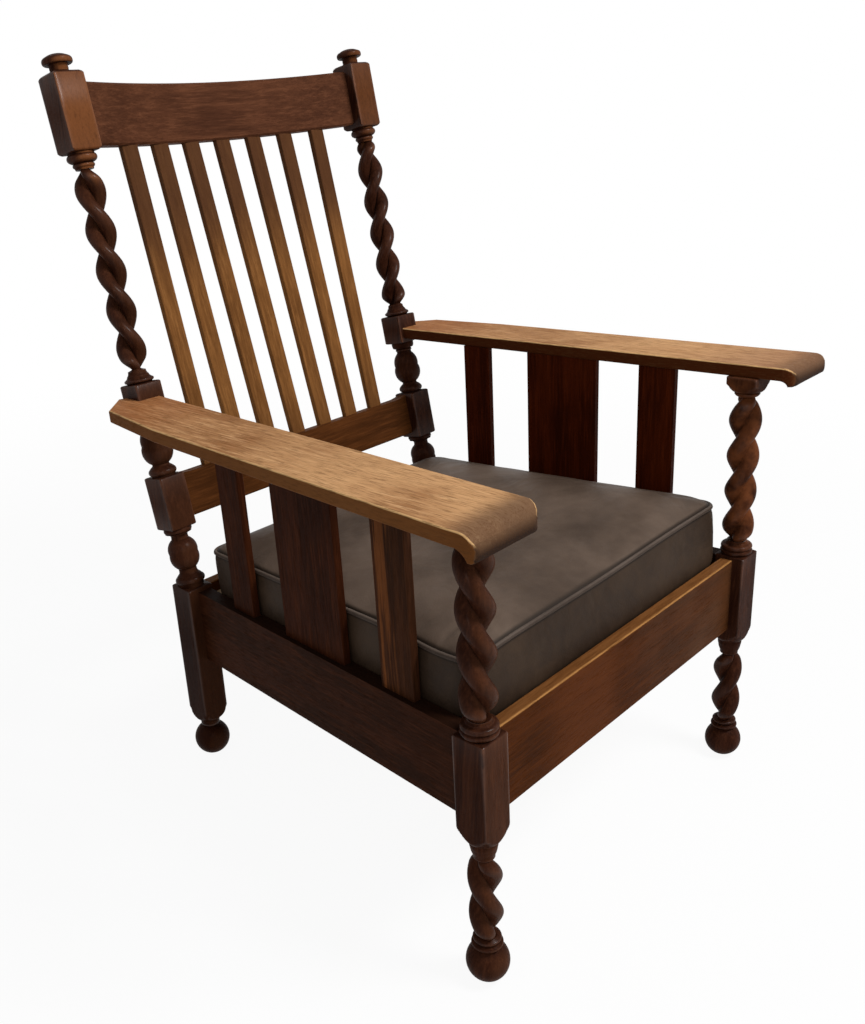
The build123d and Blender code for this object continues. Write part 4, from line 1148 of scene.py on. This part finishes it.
# floor, light and camera
studio = {
    "floorSize": 14.0,
    "floorTone": (0.86, 0.86, 0.86),
    "floorRough": 0.8,
    "worldLight": 0.32,
    "paleNear": 0.93,
    "paleFar": (0.8, 2.2),
    # each lamp: its power, size, place and what it looks at
    "keyLight": (74.0, 0.9, (0.8, -1.7, 2.9), (0, 0, 0.45)),
    "fillLight": (4.0, 2.2, (-2.2, -1.0, 1.8), (0, 0, 0.4)),
    "sparkLight": (8.0, 0.25, (-1.8, -2.0, 2.0), (0, 0, 0.5)),
}
bm = bmesh.new()
bmesh.ops.create_grid(bm, x_segments=1, y_segments=1, size=studio["floorSize"])
floorMesh = bpy.data.meshes.new("floor")
bm.to_mesh(floorMesh)
bm.free()
floor = bpy.data.objects.new("floor", floorMesh)
bpy.context.scene.collection.objects.link(floor)
floorFace = Surface("paleFloor")
floorFace.set("Base Color", studio["floorTone"])
floorFace.set("Roughness", studio["floorRough"])
floorMesh.materials.append(floorFace.material)


def seenRays(board):
    # one where a camera, gloss or clear ray meets the backdrop
    path = board.node("LightPath")
    kinds = ("Is Camera Ray", "Is Glossy Ray", "Is Transmission Ray")
    camera, gloss, clear = (Flow(board, path.outputs[kind]) for kind in kinds)
    return camera.most(gloss).most(clear)


# the floor is near white to the eye but keeps the chair's soft shadow
acrossFloor, alongFloor, upFloor = floorFace.axes(0)
away = (acrossFloor * acrossFloor + alongFloor * alongFloor) ** 0.5
paleness = away.ramp(*studio["paleFar"]) * (1 - studio["paleNear"]) + studio["paleNear"]
paper = floorFace.node("Emission")
floorSockets = {0: seenRays(floorFace) * paleness, 1: floorFace.shader.outputs[0], 2: paper.outputs[0]}
blend = floorFace.node("MixShader", None, floorSockets)
floorFace.feed(blend.outputs[0], floorFace.tree.nodes["Material Output"].inputs["Surface"])

world = bpy.data.worlds.new("studioWorld")
world.use_nodes = True
bpy.context.scene.world = world
sky = Board(world.node_tree)
lit = sky.node("Background", None, {"Color": (1, 1, 1), "Strength": studio["worldLight"]})
seen = sky.node("Background", None, {"Color": (1, 1, 1), "Strength": 1.0})
choose = sky.node("MixShader", None, {0: seenRays(sky), 1: lit.outputs[0], 2: seen.outputs[0]})
sky.feed(choose.outputs[0], sky.tree.nodes["World Output"].inputs["Surface"])


def softLight(name):
    power, size, spot, target = studio[name]
    light = bpy.data.lights.new(name, "AREA")
    light.energy = power
    light.size = size
    lamp = bpy.data.objects.new(name, light)
    bpy.context.scene.collection.objects.link(lamp)
    lamp.location = spot
    lamp.rotation_euler = (Vector(target) - Vector(spot)).to_track_quat("-Z", "Y").to_euler()


for name in ("keyLight", "fillLight", "sparkLight"):
    softLight(name)
print("studio ready")

# the camera stands at the photograph's viewing angle, in the chair's own axes
view = {
    "place": (-988.57, -592.82, 961.14),
    "yaw": -0.77544,
    "pitch": -0.39386,
    "roll": -0.07195,
    "focal": 35.50,
    "shift": (0.044, 0.019),
    "sensor": 36.0,
    "nearest": 0.05,
}


def leanDirection(vector):
    x, y, z = vector
    return Vector((x, *leanBack(leanRadians, y, z)))


yaw, pitch, roll = view["yaw"], view["pitch"], view["roll"]
forward = Vector((-math.sin(yaw) * math.cos(pitch), math.cos(yaw) * math.cos(pitch), math.sin(pitch)))
right = Vector((math.cos(yaw), math.sin(yaw), 0))
up = right.cross(forward)
turnedRight = right * math.cos(roll) + up * math.sin(roll)
turnedUp = up * math.cos(roll) - right * math.sin(roll)
cameraData = bpy.data.cameras.new("camera")
cameraData.sensor_width = view["sensor"]
cameraData.lens = view["focal"]
cameraData.shift_x, cameraData.shift_y = view["shift"]
cameraData.clip_start = view["nearest"]
camera = bpy.data.objects.new("camera", cameraData)
bpy.context.scene.collection.objects.link(camera)
columns = (leanDirection(turnedRight), leanDirection(turnedUp), -leanDirection(forward))
camera.matrix_world = Matrix.Translation(leanPoint(*view["place"])) @ Matrix(columns).transposed().to_4x4()
bpy.context.scene.camera = camera
bpy.context.scene.view_settings.view_transform = "Standard"
